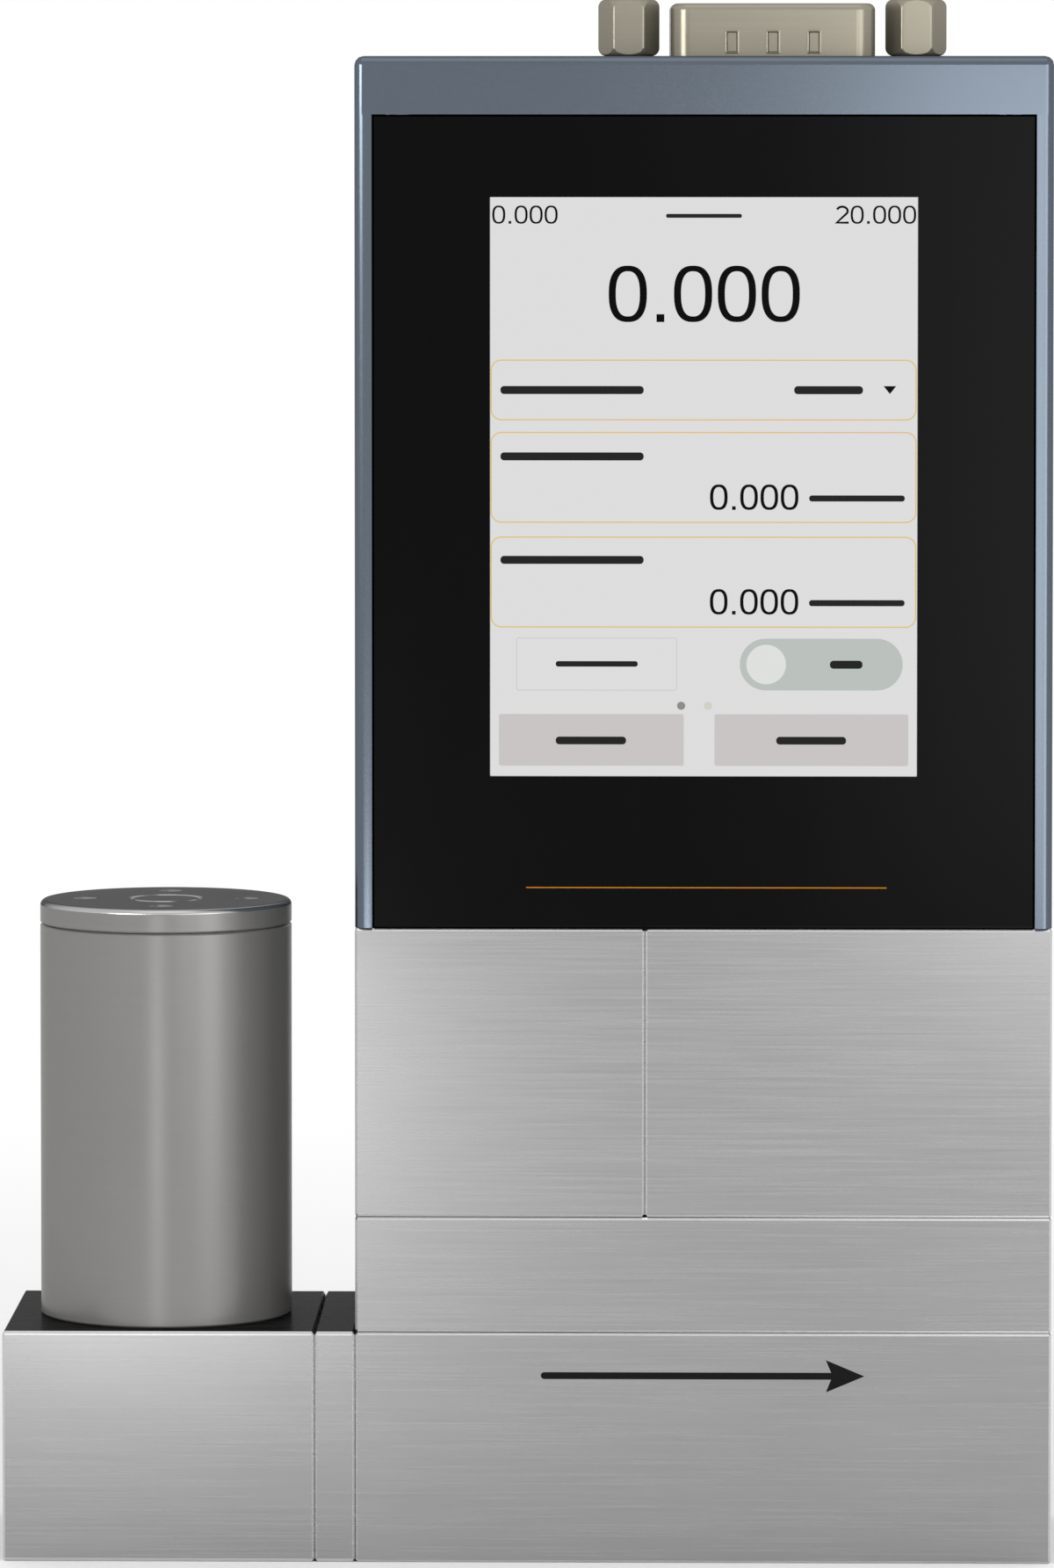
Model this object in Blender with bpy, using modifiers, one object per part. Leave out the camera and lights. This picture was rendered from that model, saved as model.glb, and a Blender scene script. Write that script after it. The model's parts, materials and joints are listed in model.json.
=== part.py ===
"""Gas flow controller: valve block with solenoid, laminar flow body, sensor blocks, electronics case.

Lengths are in metres. X runs with the flow, from the inlet on the left to the outlet on the right.
Y runs from the front to the back and Z is up. The origin is under the middle of the footprint.
"""

import math
from collections import namedtuple

import bmesh
import bpy
from mathutils import Matrix, Vector

# Stack of blocks
DEPTH = 0.025  # front to back, the same for every block and for the case
VALVE_BLOCK_WIDTH = 0.027
ADAPTER_WIDTH = 0.0035
BODY_WIDTH = 0.060
BODY_HEIGHT = 0.020
MANIFOLD_HEIGHT = 0.010
SENSOR_BLOCK_HEIGHT = 0.025
LEFT_SENSOR_WIDTH = 0.025
SEAM = 0.00005  # between faces that are clamped together
SLIP = 0.0001  # round a piece that is pushed into a bore or a pocket
BODY_CHAMFER = 0.0002
VALVE_CHAMFER = 0.0003

# Flow path
PORT_HEIGHT = 0.009
PORT_RADIUS = 0.0044
PORT_DEPTH = 0.0105
PORT_MOUTH = 0.0007  # chamfer at the mouth of each port
PASSAGE_RADIUS = 0.002
OUTLET_PASSAGE_RADIUS = 0.0025
ELEMENT_RADIUS = 0.0054
ELEMENT_LENGTH = 0.010
ELEMENT_STEP = 0.0008  # ledge that the element is pushed against
CAPILLARY_RADIUS = 0.0007
CAPILLARY_PITCH = 0.002
CAPILLARY_RINGS = 2
RETAINER_WIDTH = 0.0008
RETAINER_THICKNESS = 0.0008
TAP_SPACING = 0.016
TAP_RADIUS = 0.001
PLENUM_BEYOND_TAP = 0.003

# Seals
FACE_SEAL_RADIUS = 0.00645
TAP_SEAL_RADIUS = 0.0023
SEAL_SECTION = 0.00055
VALVE_SEAL_RADIUS = 0.0061
VALVE_SEAL_SECTION = 0.0007

# Valve
CHAMBER_RADIUS = 0.0075
CHAMBER_DEPTH = 0.0045
FEED_RADIUS = 0.001
FEED_OFFSET = 0.0042
SEAT_RADIUS = 0.0023
SEAT_RISE = 0.002
SEAT_LIP_RADIUS = 0.0012
SEAT_LIP_HEIGHT = 0.0006
SEAT_DEPTH = 0.0036
SEAT_OUTFLOW_RADIUS = 0.0015
ORIFICE_RADIUS = 0.0006
PLUNGER_RADIUS = 0.004
PLUNGER_LENGTH = 0.0158
PLUNGER_TRAVEL = 0.0004
STOP_GAP = 0.00005  # left between plunger and core when the valve is fully open
SEAL_DISC_RADIUS = 0.0025
SEAL_DISC_HEIGHT = 0.0017
SEAL_DISC_PROUD = 0.0002
GAS_SLOT_WIDTH = 0.001
GAS_SLOT_DEPTH = 0.0006
SPRING_POCKET_RADIUS = 0.0022
SPRING_POCKET_DEPTH = 0.006
SPRING_RADIUS = 0.0017
SPRING_WIRE_RADIUS = 0.0002
SPRING_TURNS = 5
SPRING_FLAT_TURNS = 1  # at each end
SPRING_FLAT_PITCH = 0.00044
SPRING_POINTS_PER_TURN = 10
GUIDE_WALL = 0.0006
GUIDE_FLANGE_RADIUS = 0.0073

# Solenoid
SOLENOID_RADIUS = 0.011
CAN_HEIGHT = 0.0343
CAN_WALL = 0.0015
CAN_FLOOR = 0.002
CAN_CHAMFER = 0.00015
LID_HEIGHT = 0.00205
LID_FILLET = 0.0005
LID_SPIGOT = 0.002
STUD_RADIUS = 0.00305
STUD_CHAMFER = 0.00025
KEY_HOLE_RADIUS = 0.001
KEY_HOLE_DEPTH = 0.0008
KEY_HOLE_CIRCLE = 0.0071
BOBBIN_FLANGE_RADIUS = 0.0092
BOBBIN_FLANGE = 0.0012
BOBBIN_WALL = 0.0008
WINDING_RADIUS = 0.0088
COIL_CLEARANCE = 0.0002

# Electronics case
CASE_HEIGHT = 0.070
CASE_WALL = 0.0015
CASE_FILLET = 0.0008
CASE_SCREW_INSET = 0.0034
BOSS_RADIUS = 0.0024
BOARD_RAIL_DEPTH = 0.002
BOARD_RAIL_WIDTH = 0.0048
BOARD_SLOT_DEPTH = 0.0015
PANEL_THICKNESS = 0.0016
PANEL_CHAMFER = 0.00015
SCREEN_WIDTH = 0.0367
SCREEN_HEIGHT = 0.0498
SCREEN_LIFT = 0.003  # middle of the screen above the middle of the case
DISPLAY_BORDER_SIDE = 0.0037
DISPLAY_BORDER_END = 0.0041
DISPLAY_THICKNESS = 0.003
BOARD_THICKNESS = 0.0016
MAIN_BOARD_SETBACK = 0.0103  # front of the board behind the front of the case
MAIN_BOARD_LIFT = 0.0023
MAIN_BOARD_HEADROOM = 0.00295  # top of the board below the tails of the connector's pins
Chip = namedtuple("Chip", "name across up width height thickness")  # across and up from the board's middle
CHIPS = [
    Chip("processor", across=-0.006, up=0.002, width=0.012, height=0.012, thickness=0.0018),
    Chip("converter", across=0.014, up=0.016, width=0.008, height=0.006, thickness=0.0022),
    Chip("valve_driver", across=-0.018, up=-0.016, width=0.007, height=0.009, thickness=0.002),
    Chip("storage_coil", across=0.014, up=-0.012, width=0.010, height=0.010, thickness=0.0045),
    Chip("harness_header", across=-0.014, up=0.022, width=0.016, height=0.004, thickness=0.006),
]
SENSOR_BOARD_LIFT = 0.0003
SENSOR_BOARD_DEPTH = 0.018
RIBBON_WIDTH = 0.012
RIBBON_THICKNESS = 0.0002
RIBBON_DROP = 0.010
RIBBON_POINTS = 9

# Cap and connector
CAP_HEIGHT = 0.005
CAP_ROOF = 0.0012
CAP_CORNER = 0.0058
CONNECTOR_FROM_OUTLET = 0.024
JACK_SPACING = 0.02499
JACK_ACROSS_FLATS = 0.00475
JACK_ROUND_RADIUS = 0.00266
JACK_ROUND_FILLET = 0.0007
JACK_HEIGHT = 0.005
JACK_STUD_RADIUS = 0.0014
JACK_STUD_LENGTH = 0.0035
JACK_THREAD_RADIUS = 0.00125
JACK_THREAD_DEPTH = 0.0035
SHELL_WIDTH = 0.0179
SHELL_DEPTH = 0.0093
SHELL_SLOPE = math.radians(10)
SHELL_CORNER = 0.0026
SHELL_RISE = 0.0046  # above the cap
SHELL_SHEET = 0.00045
SHELL_RIM = 0.0006
FLANGE_WIDTH = 0.0308
FLANGE_DEPTH = 0.0125
FLANGE_SHEET = 0.0008
FLANGE_CORNER = 0.0015
DIMPLE_WIDTH = 0.0008
DIMPLE_HEIGHT = 0.0018
DIMPLE_RIM = 0.0002
DIMPLE_PROUD = 0.00008
DIMPLE_DEPTH = 0.0002
DIMPLE_PITCH = 0.00355
DIMPLE_LIFT = 0.00125  # middle of the dimples above the cap
INSULATOR_REAR = 0.0055
INSULATOR_FRONT = 0.0008
PIN_RADIUS = 0.0005
PIN_PITCH = 0.00277
PIN_ROW_SPACING = 0.00284
PIN_SHORT = 0.0007  # pin tips below the rim of the shell
PIN_TAIL = 0.0022

# Sensors
POCKET_WIDTH = 0.0205
POCKET_DEPTH = 0.013
POCKET_HEIGHT = 0.014
WIRE_HOLE_RADIUS = 0.003
NOZZLE_RADIUS = 0.0009
NOZZLE_LENGTH = 0.003
DIFFERENTIAL_SIZE = Vector((0.0195, 0.010, 0.008))
ABSOLUTE_SIZE = Vector((0.009, 0.009, 0.005))
ABSOLUTE_CAP_RADIUS = 0.0038
ABSOLUTE_CAP_HEIGHT = 0.003
ABSOLUTE_TAP_OFFSET = 0.0025  # from the middle of the right sensor block
PROBE_OFFSET = -0.0065
PROBE_RADIUS = 0.0015
PROBE_TIP_RADIUS = 0.0009
PROBE_TIP_LENGTH = 0.004
PROBE_HEAD_RADIUS = 0.0026
PROBE_HEAD_HEIGHT = 0.005

# Screws
ScrewSize = namedtuple("ScrewSize", "shank head head_height socket")
SMALL_SCREW = ScrewSize(shank=0.00125, head=0.00225, head_height=0.0025, socket=0.001)
LARGE_SCREW = ScrewSize(shank=0.0015, head=0.00275, head_height=0.003, socket=0.00125)
SOCKET_DEPTH = 0.0013
HEAD_SUNK = 0.0003
SCREW_CHAMFER = 0.0003
VALVE_SCREW_SPREAD = 0.0096
VALVE_SCREW_RISE = 0.0056
VALVE_SCREW_GRIP = 0.006
BODY_SCREW_SPREAD = 0.009
BODY_SCREW_GRIP = 0.008
CASE_SCREW_GRIP = 0.006
MOUNT_HOLE_RADIUS = 0.00165
MOUNT_HOLE_DEPTH = 0.006
MOUNT_HOLE_SPREAD = 0.009

# Facets
COIL_SIDES = 40
BORE_SIDES = 28
RING_SIDES = 16
ROD_SIDES = 12
PIN_SIDES = 8
FINE_SIDES = 6
FILLET_STEPS = 2
OVERCUT = 0.001  # how far a cutter stands out of what it cuts
SHARP_ANGLE = math.radians(32)

# Places that follow from the sizes
LEFT = -(VALVE_BLOCK_WIDTH + ADAPTER_WIDTH + BODY_WIDTH) / 2
RIGHT = -LEFT
FRONT = -DEPTH / 2
BACK = DEPTH / 2
ADAPTER_LEFT = LEFT + VALVE_BLOCK_WIDTH
BODY_LEFT = ADAPTER_LEFT + ADAPTER_WIDTH
BODY_MIDDLE = (BODY_LEFT + RIGHT) / 2
BLOCK_SPLIT = BODY_LEFT + LEFT_SENSOR_WIDTH
LEFT_BLOCK_MIDDLE = (BODY_LEFT + BLOCK_SPLIT) / 2
RIGHT_BLOCK_MIDDLE = (BLOCK_SPLIT + RIGHT) / 2
MANIFOLD_TOP = BODY_HEIGHT + MANIFOLD_HEIGHT
CASE_BOTTOM = MANIFOLD_TOP + SENSOR_BLOCK_HEIGHT
CASE_TOP = CASE_BOTTOM + CASE_HEIGHT
CAP_TOP = CASE_TOP + CAP_HEIGHT

ELEMENT_BORE = ELEMENT_RADIUS + SLIP
ELEMENT_START = LEFT_BLOCK_MIDDLE - ELEMENT_LENGTH / 2
ELEMENT_END = ELEMENT_START + ELEMENT_LENGTH
PLENUM_END = LEFT_BLOCK_MIDDLE + TAP_SPACING / 2 + PLENUM_BEYOND_TAP
UPSTREAM_TAP = LEFT_BLOCK_MIDDLE - TAP_SPACING / 2
DOWNSTREAM_TAP = LEFT_BLOCK_MIDDLE + TAP_SPACING / 2
ABSOLUTE_TAP = RIGHT_BLOCK_MIDDLE + ABSOLUTE_TAP_OFFSET
PROBE_PLACE = RIGHT_BLOCK_MIDDLE + PROBE_OFFSET
PROBE_HOLE = PROBE_RADIUS + SLIP

VALVE_AXIS = LEFT + VALVE_BLOCK_WIDTH / 2
CHAMBER_FLOOR = BODY_HEIGHT - CHAMBER_DEPTH
SEAT_TOP = CHAMBER_FLOOR + SEAT_RISE
SEAL_FACE = SEAT_TOP + SEAM
PLUNGER_BOTTOM = SEAL_FACE + SEAL_DISC_PROUD
PLUNGER_TOP = PLUNGER_BOTTOM + PLUNGER_LENGTH
CORE_BOTTOM = PLUNGER_TOP + PLUNGER_TRAVEL + STOP_GAP
GUIDE_BORE = PLUNGER_RADIUS + SLIP
GUIDE_OUTSIDE = GUIDE_BORE + GUIDE_WALL
CAN_BOTTOM = BODY_HEIGHT + SEAM
LID_SEAM = BODY_HEIGHT + CAN_HEIGHT
LID_TOP = LID_SEAM + LID_HEIGHT
SPIGOT_BOTTOM = LID_SEAM - LID_SPIGOT
CORE_SHOULDER = SPIGOT_BOTTOM - SEAM
BOBBIN_BOTTOM = CAN_BOTTOM + CAN_FLOOR + SEAM
BOBBIN_TOP = SPIGOT_BOTTOM - COIL_CLEARANCE
BOBBIN_BORE = GUIDE_OUTSIDE + SLIP

PANEL_LEFT = BODY_LEFT + CASE_WALL
PANEL_RIGHT = RIGHT - CASE_WALL
PANEL_BACK = FRONT + PANEL_THICKNESS
FRONT_BOSS = PANEL_BACK + SEAM + BOSS_RADIUS
BACK_BOSS = BACK - BOSS_RADIUS - CASE_WALL / 2
CASE_SCREW_PLACES = [
    (x, y)
    for x in (BODY_LEFT + CASE_SCREW_INSET, RIGHT - CASE_SCREW_INSET)
    for y in (FRONT_BOSS, BACK_BOSS)
]
SCREEN_MIDDLE = (CASE_BOTTOM + CASE_TOP) / 2 + SCREEN_LIFT
DISPLAY_FRONT = PANEL_BACK + SEAM
DISPLAY_BACK = DISPLAY_FRONT + DISPLAY_THICKNESS
DISPLAY_BOTTOM = SCREEN_MIDDLE - SCREEN_HEIGHT / 2 - DISPLAY_BORDER_END
BOARD_FRONT = FRONT + MAIN_BOARD_SETBACK
BOARD_HALF_WIDTH = BODY_WIDTH / 2 - CASE_WALL - BOARD_RAIL_DEPTH + BOARD_SLOT_DEPTH - SLIP
CONNECTOR_MIDDLE = RIGHT - CONNECTOR_FROM_OUTLET
FLANGE_TOP = CAP_TOP - CAP_ROOF - SEAM
FLANGE_BOTTOM = FLANGE_TOP - FLANGE_SHEET
SHELL_TOP = CAP_TOP + SHELL_RISE
INSULATOR_BOTTOM = FLANGE_BOTTOM - INSULATOR_REAR
PIN_BOTTOM = INSULATOR_BOTTOM - PIN_TAIL

BOARD_BOTTOM = CASE_BOTTOM + MAIN_BOARD_LIFT
BOARD_TOP = PIN_BOTTOM - MAIN_BOARD_HEADROOM
BOARD_MIDDLE = (BOARD_BOTTOM + BOARD_TOP) / 2

BODY_SCREW_PLACES = [
    (x, y)
    for x in (LEFT_BLOCK_MIDDLE, RIGHT_BLOCK_MIDDLE)
    for y in (-BODY_SCREW_SPREAD, BODY_SCREW_SPREAD)
]
VALVE_SCREW_PLACES = [
    (y, PORT_HEIGHT + z)
    for y in (-VALVE_SCREW_SPREAD, VALVE_SCREW_SPREAD)
    for z in (-VALVE_SCREW_RISE, VALVE_SCREW_RISE)
]

MATERIALS = {
    "brushed_steel": ((0.55, 0.55, 0.56), 0.35, 1.0),
    "turned_steel": ((0.42, 0.42, 0.41), 0.3, 1.0),
    "screw_steel": ((0.2, 0.2, 0.21), 0.35, 1.0),
    "blue_anodised": ((0.17, 0.2, 0.24), 0.4, 0.7),
    "black_glass": ((0.008, 0.008, 0.009), 0.08, 0.0),
    "screen": ((0.72, 0.72, 0.72), 0.2, 0.0),
    "nickel": ((0.5, 0.46, 0.39), 0.25, 1.0),
    "gold": ((0.8, 0.55, 0.2), 0.25, 1.0),
    "black_plastic": ((0.02, 0.02, 0.02), 0.5, 0.0),
    "circuit_board": ((0.01, 0.12, 0.05), 0.45, 0.0),
    "copper": ((0.7, 0.3, 0.15), 0.35, 1.0),
    "rubber": ((0.015, 0.015, 0.015), 0.8, 0.0),
    "ribbon": ((0.6, 0.3, 0.08), 0.4, 0.0),
}


def clear_scene():
    for old in list(bpy.data.objects):
        bpy.data.objects.remove(old, do_unlink=True)


def new_collection(name):
    group = bpy.data.collections.new(name)
    bpy.context.scene.collection.children.link(group)
    return group


def make_material(name):
    colour, roughness, metallic = MATERIALS[name]
    made = bpy.data.materials.get(name)
    if made:
        return made
    made = bpy.data.materials.new(name)
    made.use_nodes = True
    shader = made.node_tree.nodes["Principled BSDF"]
    shader.inputs["Base Color"].default_value = (*colour, 1.0)
    shader.inputs["Roughness"].default_value = roughness
    shader.inputs["Metallic"].default_value = metallic
    made.diffuse_color = (*colour, 1.0)
    return made


def place(name, mesh, material, location=(0, 0, 0), turn=None):
    """Adds the mesh as a part, or as a hidden cutter where no material is given."""
    made = bpy.data.objects.new(name, mesh)
    made.location = location
    if turn:
        made.rotation_euler = turn
    if material:
        mesh.materials.append(make_material(material))
        PARTS.objects.link(made)
    else:
        made.hide_render = True
        made.display_type = "WIRE"
        CUTTERS.objects.link(made)
    return made


def box(name, low, high, material=None):
    low, high = Vector(low), Vector(high)
    shape = bmesh.new()
    bmesh.ops.create_cube(shape, size=1.0, matrix=Matrix.Diagonal(high - low).to_4x4())
    mesh = bpy.data.meshes.new(name)
    shape.to_mesh(mesh)
    shape.free()
    return place(name, mesh, material, (low + high) / 2)


def rod(name, start, end, radius, material=None, sides=ROD_SIDES, end_radius=None):
    """A round bar from start to end, or a cone where end_radius differs."""
    start, end = Vector(start), Vector(end)
    run = end - start
    shape = bmesh.new()
    bmesh.ops.create_cone(
        shape,
        cap_ends=True,
        segments=sides,
        radius1=radius,
        radius2=radius if end_radius is None else end_radius,
        depth=run.length,
    )
    mesh = bpy.data.meshes.new(name)
    shape.to_mesh(mesh)
    shape.free()
    return place(name, mesh, material, (start + end) / 2, run.to_track_quat("Z", "Y").to_euler())


def turned(name, profile, origin, material=None, steps=RING_SIDES, along=(0, 0, 1)):
    """Revolves (radius, height) points that run down the outer side, about a line through origin."""
    count = len(profile)
    edges = [(i, i + 1) for i in range(count - 1)]
    on_axis = profile[0][0] == 0 and profile[-1][0] == 0
    if not on_axis:
        edges.append((count - 1, 0))
    mesh = bpy.data.meshes.new(name)
    mesh.from_pydata([(radius, 0, height) for radius, height in profile], edges, [])
    made = place(name, mesh, material, origin, Vector(along).to_track_quat("Z", "Y").to_euler())
    turn = made.modifiers.new("turn", "SCREW")
    turn.axis = "Z"
    turn.steps = steps
    turn.render_steps = steps
    turn.use_merge_vertices = True
    turn.merge_threshold = 0.000001
    return made


def seal_ring(name, origin, radius, section, along=(0, 0, 1), steps=RING_SIDES):
    """A rubber ring of round section, centred on origin."""
    sides = FINE_SIDES
    angles = [-2 * math.pi * i / sides for i in range(sides)]
    profile = [(radius + section * math.cos(a), section * math.sin(a)) for a in angles]
    return turned(name, profile, origin, "rubber", steps, along)


def joined(name, pieces, material=None):
    """One object out of several shapes that stay clear of each other."""
    shape = bmesh.new()
    for piece in pieces:
        shape.from_mesh(settled_mesh(piece))
        bpy.data.objects.remove(piece)
    mesh = bpy.data.meshes.new(name)
    shape.to_mesh(mesh)
    shape.free()
    return place(name, mesh, material)


def settled_mesh(piece):
    """The piece's mesh with its modifiers applied, in world space."""
    bpy.context.view_layer.update()
    graph = bpy.context.evaluated_depsgraph_get()
    mesh = bpy.data.meshes.new_from_object(piece.evaluated_get(graph))
    mesh.transform(piece.matrix_world)
    return mesh


def combine(target, operation, others):
    for other in others:
        step = target.modifiers.new(operation.lower(), "BOOLEAN")
        step.operation = operation
        step.object = other
    return target


def cut(target, *cutters):
    return combine(target, "DIFFERENCE", cutters)


def fuse(target, *pieces):
    return combine(target, "UNION", pieces)


def drill(target, start, direction, depth, radius, sides=ROD_SIDES):
    """A flat-bottomed hole that starts on the surface at start."""
    start, direction = Vector(start), Vector(direction)
    name = f"{target.name}_drill"
    cutter = rod(name, start - direction * OVERCUT, start + direction * depth, radius, sides=sides)
    return cut(target, cutter)


def flare(target, start, direction, radius, chamfer, sides=BORE_SIDES):
    """A chamfer round the mouth of a hole, cut by a cone whose point runs on into the hole."""
    start, direction = Vector(start), Vector(direction)
    inside = radius / 2
    cutter = rod(
        f"{target.name}_flare",
        start - direction * OVERCUT,
        start + direction * (chamfer + inside),
        radius + chamfer + OVERCUT,
        sides=sides,
        end_radius=radius - inside,
    )
    return cut(target, cutter)


def round_edges(piece, radius, segments, chosen):
    """Rounds the edges of a plain box that chosen picks, given each edge's two ends."""
    shape = bmesh.new()
    shape.from_mesh(piece.data)
    edges = [edge for edge in shape.edges if chosen(*(vert.co for vert in edge.verts))]
    bmesh.ops.bevel(shape, geom=edges, offset=radius, segments=segments, profile=0.5, affect="EDGES")
    shape.to_mesh(piece.data)
    shape.free()
    return piece


def chamfered_box(name, low, high, chamfer, material):
    block = box(name, low, high, material)
    return round_edges(block, chamfer, 1, lambda a, b: True)


def slab(name, outlines, middle, bottom, top, material=None):
    """A plate with the first outline as its edge and the others as holes."""
    curve = bpy.data.curves.new(name, "CURVE")
    curve.dimensions = "2D"
    curve.fill_mode = "BOTH"
    curve.extrude = (top - bottom) / 2
    for outline in outlines:
        spline = curve.splines.new("POLY")
        spline.points.add(len(outline) - 1)
        for point, (x, y) in zip(spline.points, outline):
            point.co = (x, y, 0, 1)
        spline.use_cyclic_u = True
    flat = bpy.data.objects.new(name, curve)
    flat.location = (*middle, (bottom + top) / 2)
    CUTTERS.objects.link(flat)
    mesh = settled_mesh(flat)
    bpy.data.objects.remove(flat)
    shape = bmesh.new()
    shape.from_mesh(mesh)
    bmesh.ops.remove_doubles(shape, verts=shape.verts, dist=0.000001)
    shape.to_mesh(mesh)
    shape.free()
    mesh.name = name
    mesh.materials.clear()
    return place(name, mesh, material)


def rounded(corners, radius, inset=0.0, arc_steps=4):
    """Points of a convex outline, anticlockwise, with round corners; inset moves it inwards."""
    points = []
    count = len(corners)
    for index, corner in enumerate(corners):
        here = Vector(corner)
        back = (Vector(corners[index - 1]) - here).normalized()
        ahead = (Vector(corners[(index + 1) % count]) - here).normalized()
        half = back.angle(ahead) / 2
        centre = here + (back + ahead).normalized() * radius / math.sin(half)
        first = math.atan2(back.x, -back.y)
        sweep = math.pi - 2 * half
        for step in range(arc_steps + 1):
            angle = first + sweep * step / arc_steps
            points.append(centre + Vector((math.cos(angle), math.sin(angle))) * (radius - inset))
    return points


def shell_outline(inset=0.0):
    """The connector's D outline, its narrow side to the front."""
    half_depth = SHELL_DEPTH / 2
    wide = SHELL_WIDTH / 2
    narrow = wide - SHELL_DEPTH * math.tan(SHELL_SLOPE)
    corners = [(-narrow, -half_depth), (narrow, -half_depth), (wide, half_depth), (-wide, half_depth)]
    return rounded(corners, SHELL_CORNER, inset)


def oblong(width, depth, corner):
    x, y = width / 2, depth / 2
    return rounded([(-x, -y), (x, -y), (x, y), (-x, y)], corner)


def fillet_points(radius):
    """(outward, drop) along a quarter round, from its top to its outer side."""
    angles = [math.pi / 2 * i / FILLET_STEPS for i in range(FILLET_STEPS + 1)]
    return [(radius * math.sin(a), radius * (1 - math.cos(a))) for a in angles]


def circle(middle, radius, sides=ROD_SIDES):
    turns = [2 * math.pi * i / sides for i in range(sides)]
    return [(middle[0] + radius * math.cos(a), middle[1] + radius * math.sin(a)) for a in turns]


def socket_cutter(name, start, direction, radius, depth):
    """A hexagonal key socket that starts on the surface at start."""
    start, direction = Vector(start), Vector(direction)
    across_corners = radius / math.cos(math.pi / 6)
    return rod(name, start - direction * OVERCUT, start + direction * depth, across_corners, sides=6)


def cap_screw(name, seat, direction, length, size):
    """A socket head screw; seat is the point under the head and direction runs down the shank."""
    seat, direction = Vector(seat), Vector(direction)
    profile = [
        (0, size.head_height),
        (size.head - SCREW_CHAMFER, size.head_height),
        (size.head, size.head_height - SCREW_CHAMFER),
        (size.head, 0),
        (size.shank, 0),
        (size.shank, SCREW_CHAMFER - length),
        (size.shank - SCREW_CHAMFER, -length),
        (0, -length),
    ]
    screw = turned(name, profile, seat, "screw_steel", ROD_SIDES, -direction)
    top = seat - direction * size.head_height
    return cut(screw, socket_cutter(f"{name}_socket", top, direction, size.socket, SOCKET_DEPTH))


def sunk_screw(name, top, length, size):
    """A flat-topped countersunk screw that points down from top."""
    cone = size.head - size.shank
    profile = [
        (0, 0),
        (size.head, 0),
        (size.shank, -cone),
        (size.shank, SCREW_CHAMFER - length),
        (size.shank - SCREW_CHAMFER, -length),
        (0, -length),
    ]
    screw = turned(name, profile, top, "screw_steel", ROD_SIDES)
    return cut(screw, socket_cutter(f"{name}_socket", top, (0, 0, -1), size.socket, SOCKET_DEPTH))


def build_valve_block():
    block = chamfered_box(
        "valve_block",
        (LEFT, FRONT, 0),
        (ADAPTER_LEFT - SEAM, BACK, BODY_HEIGHT),
        VALVE_CHAMFER,
        "brushed_steel",
    )
    right, down = (1, 0, 0), (0, 0, -1)
    inlet = (LEFT, 0, PORT_HEIGHT)
    drill(block, inlet, right, PORT_DEPTH, PORT_RADIUS, BORE_SIDES)
    flare(block, inlet, right, PORT_RADIUS, PORT_MOUTH)
    top = (VALVE_AXIS, 0, BODY_HEIGHT)
    drill(block, top, down, CHAMBER_DEPTH, CHAMBER_RADIUS, BORE_SIDES)
    floor = (VALVE_AXIS, 0, CHAMBER_FLOOR)
    drill(block, floor, down, SEAT_DEPTH + SEAM, SEAT_RADIUS + SLIP)
    to_port = CHAMBER_FLOOR - PORT_HEIGHT
    drill(block, floor, down, to_port, SEAT_OUTFLOW_RADIUS)
    drill(block, (VALVE_AXIS - FEED_OFFSET, 0, CHAMBER_FLOOR), down, to_port, FEED_RADIUS)
    exit_face = ADAPTER_LEFT - SEAM
    drill(block, (exit_face, 0, PORT_HEIGHT), (-1, 0, 0), exit_face - VALVE_AXIS, PASSAGE_RADIUS)
    for y, z in VALVE_SCREW_PLACES:
        sink = SMALL_SCREW.head_height + HEAD_SUNK
        drill(block, (LEFT, y, z), right, sink, SMALL_SCREW.head + SLIP)
        drill(block, (LEFT, y, z), right, VALVE_BLOCK_WIDTH + OVERCUT, SMALL_SCREW.shank + SLIP)


def groove_cutter(name, face, direction):
    """A ring-shaped groove for a face seal, cut into a face along direction."""
    inner = FACE_SEAL_RADIUS - SEAL_SECTION - SLIP
    outer = FACE_SEAL_RADIUS + SEAL_SECTION + SLIP
    deep = 2 * SEAL_SECTION + SEAM
    profile = [(outer, OVERCUT), (outer, -deep), (inner, -deep), (inner, OVERCUT)]
    return turned(name, profile, face, None, RING_SIDES, direction)


def build_adapter_plate():
    right_face = BODY_LEFT - SEAM
    plate = chamfered_box(
        "adapter_plate",
        (ADAPTER_LEFT, FRONT, 0),
        (right_face, BACK, BODY_HEIGHT),
        VALVE_CHAMFER,
        "brushed_steel",
    )
    through = ADAPTER_WIDTH + OVERCUT
    drill(plate, (ADAPTER_LEFT, 0, PORT_HEIGHT), (1, 0, 0), through, PASSAGE_RADIUS)
    for y, z in VALVE_SCREW_PLACES:
        drill(plate, (ADAPTER_LEFT, y, z), (1, 0, 0), through, SMALL_SCREW.shank + SLIP)
    cut(plate, groove_cutter("inlet_side_groove", (ADAPTER_LEFT, 0, PORT_HEIGHT), (-1, 0, 0)))
    cut(plate, groove_cutter("outlet_side_groove", (right_face, 0, PORT_HEIGHT), (1, 0, 0)))
    across = (1, 0, 0)
    near = (ADAPTER_LEFT + SEAL_SECTION, 0, PORT_HEIGHT)
    far = (right_face - SEAL_SECTION, 0, PORT_HEIGHT)
    seal_ring("adapter_seal_inlet_side", near, FACE_SEAL_RADIUS, SEAL_SECTION, across)
    seal_ring("adapter_seal_outlet_side", far, FACE_SEAL_RADIUS, SEAL_SECTION, across)


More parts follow.
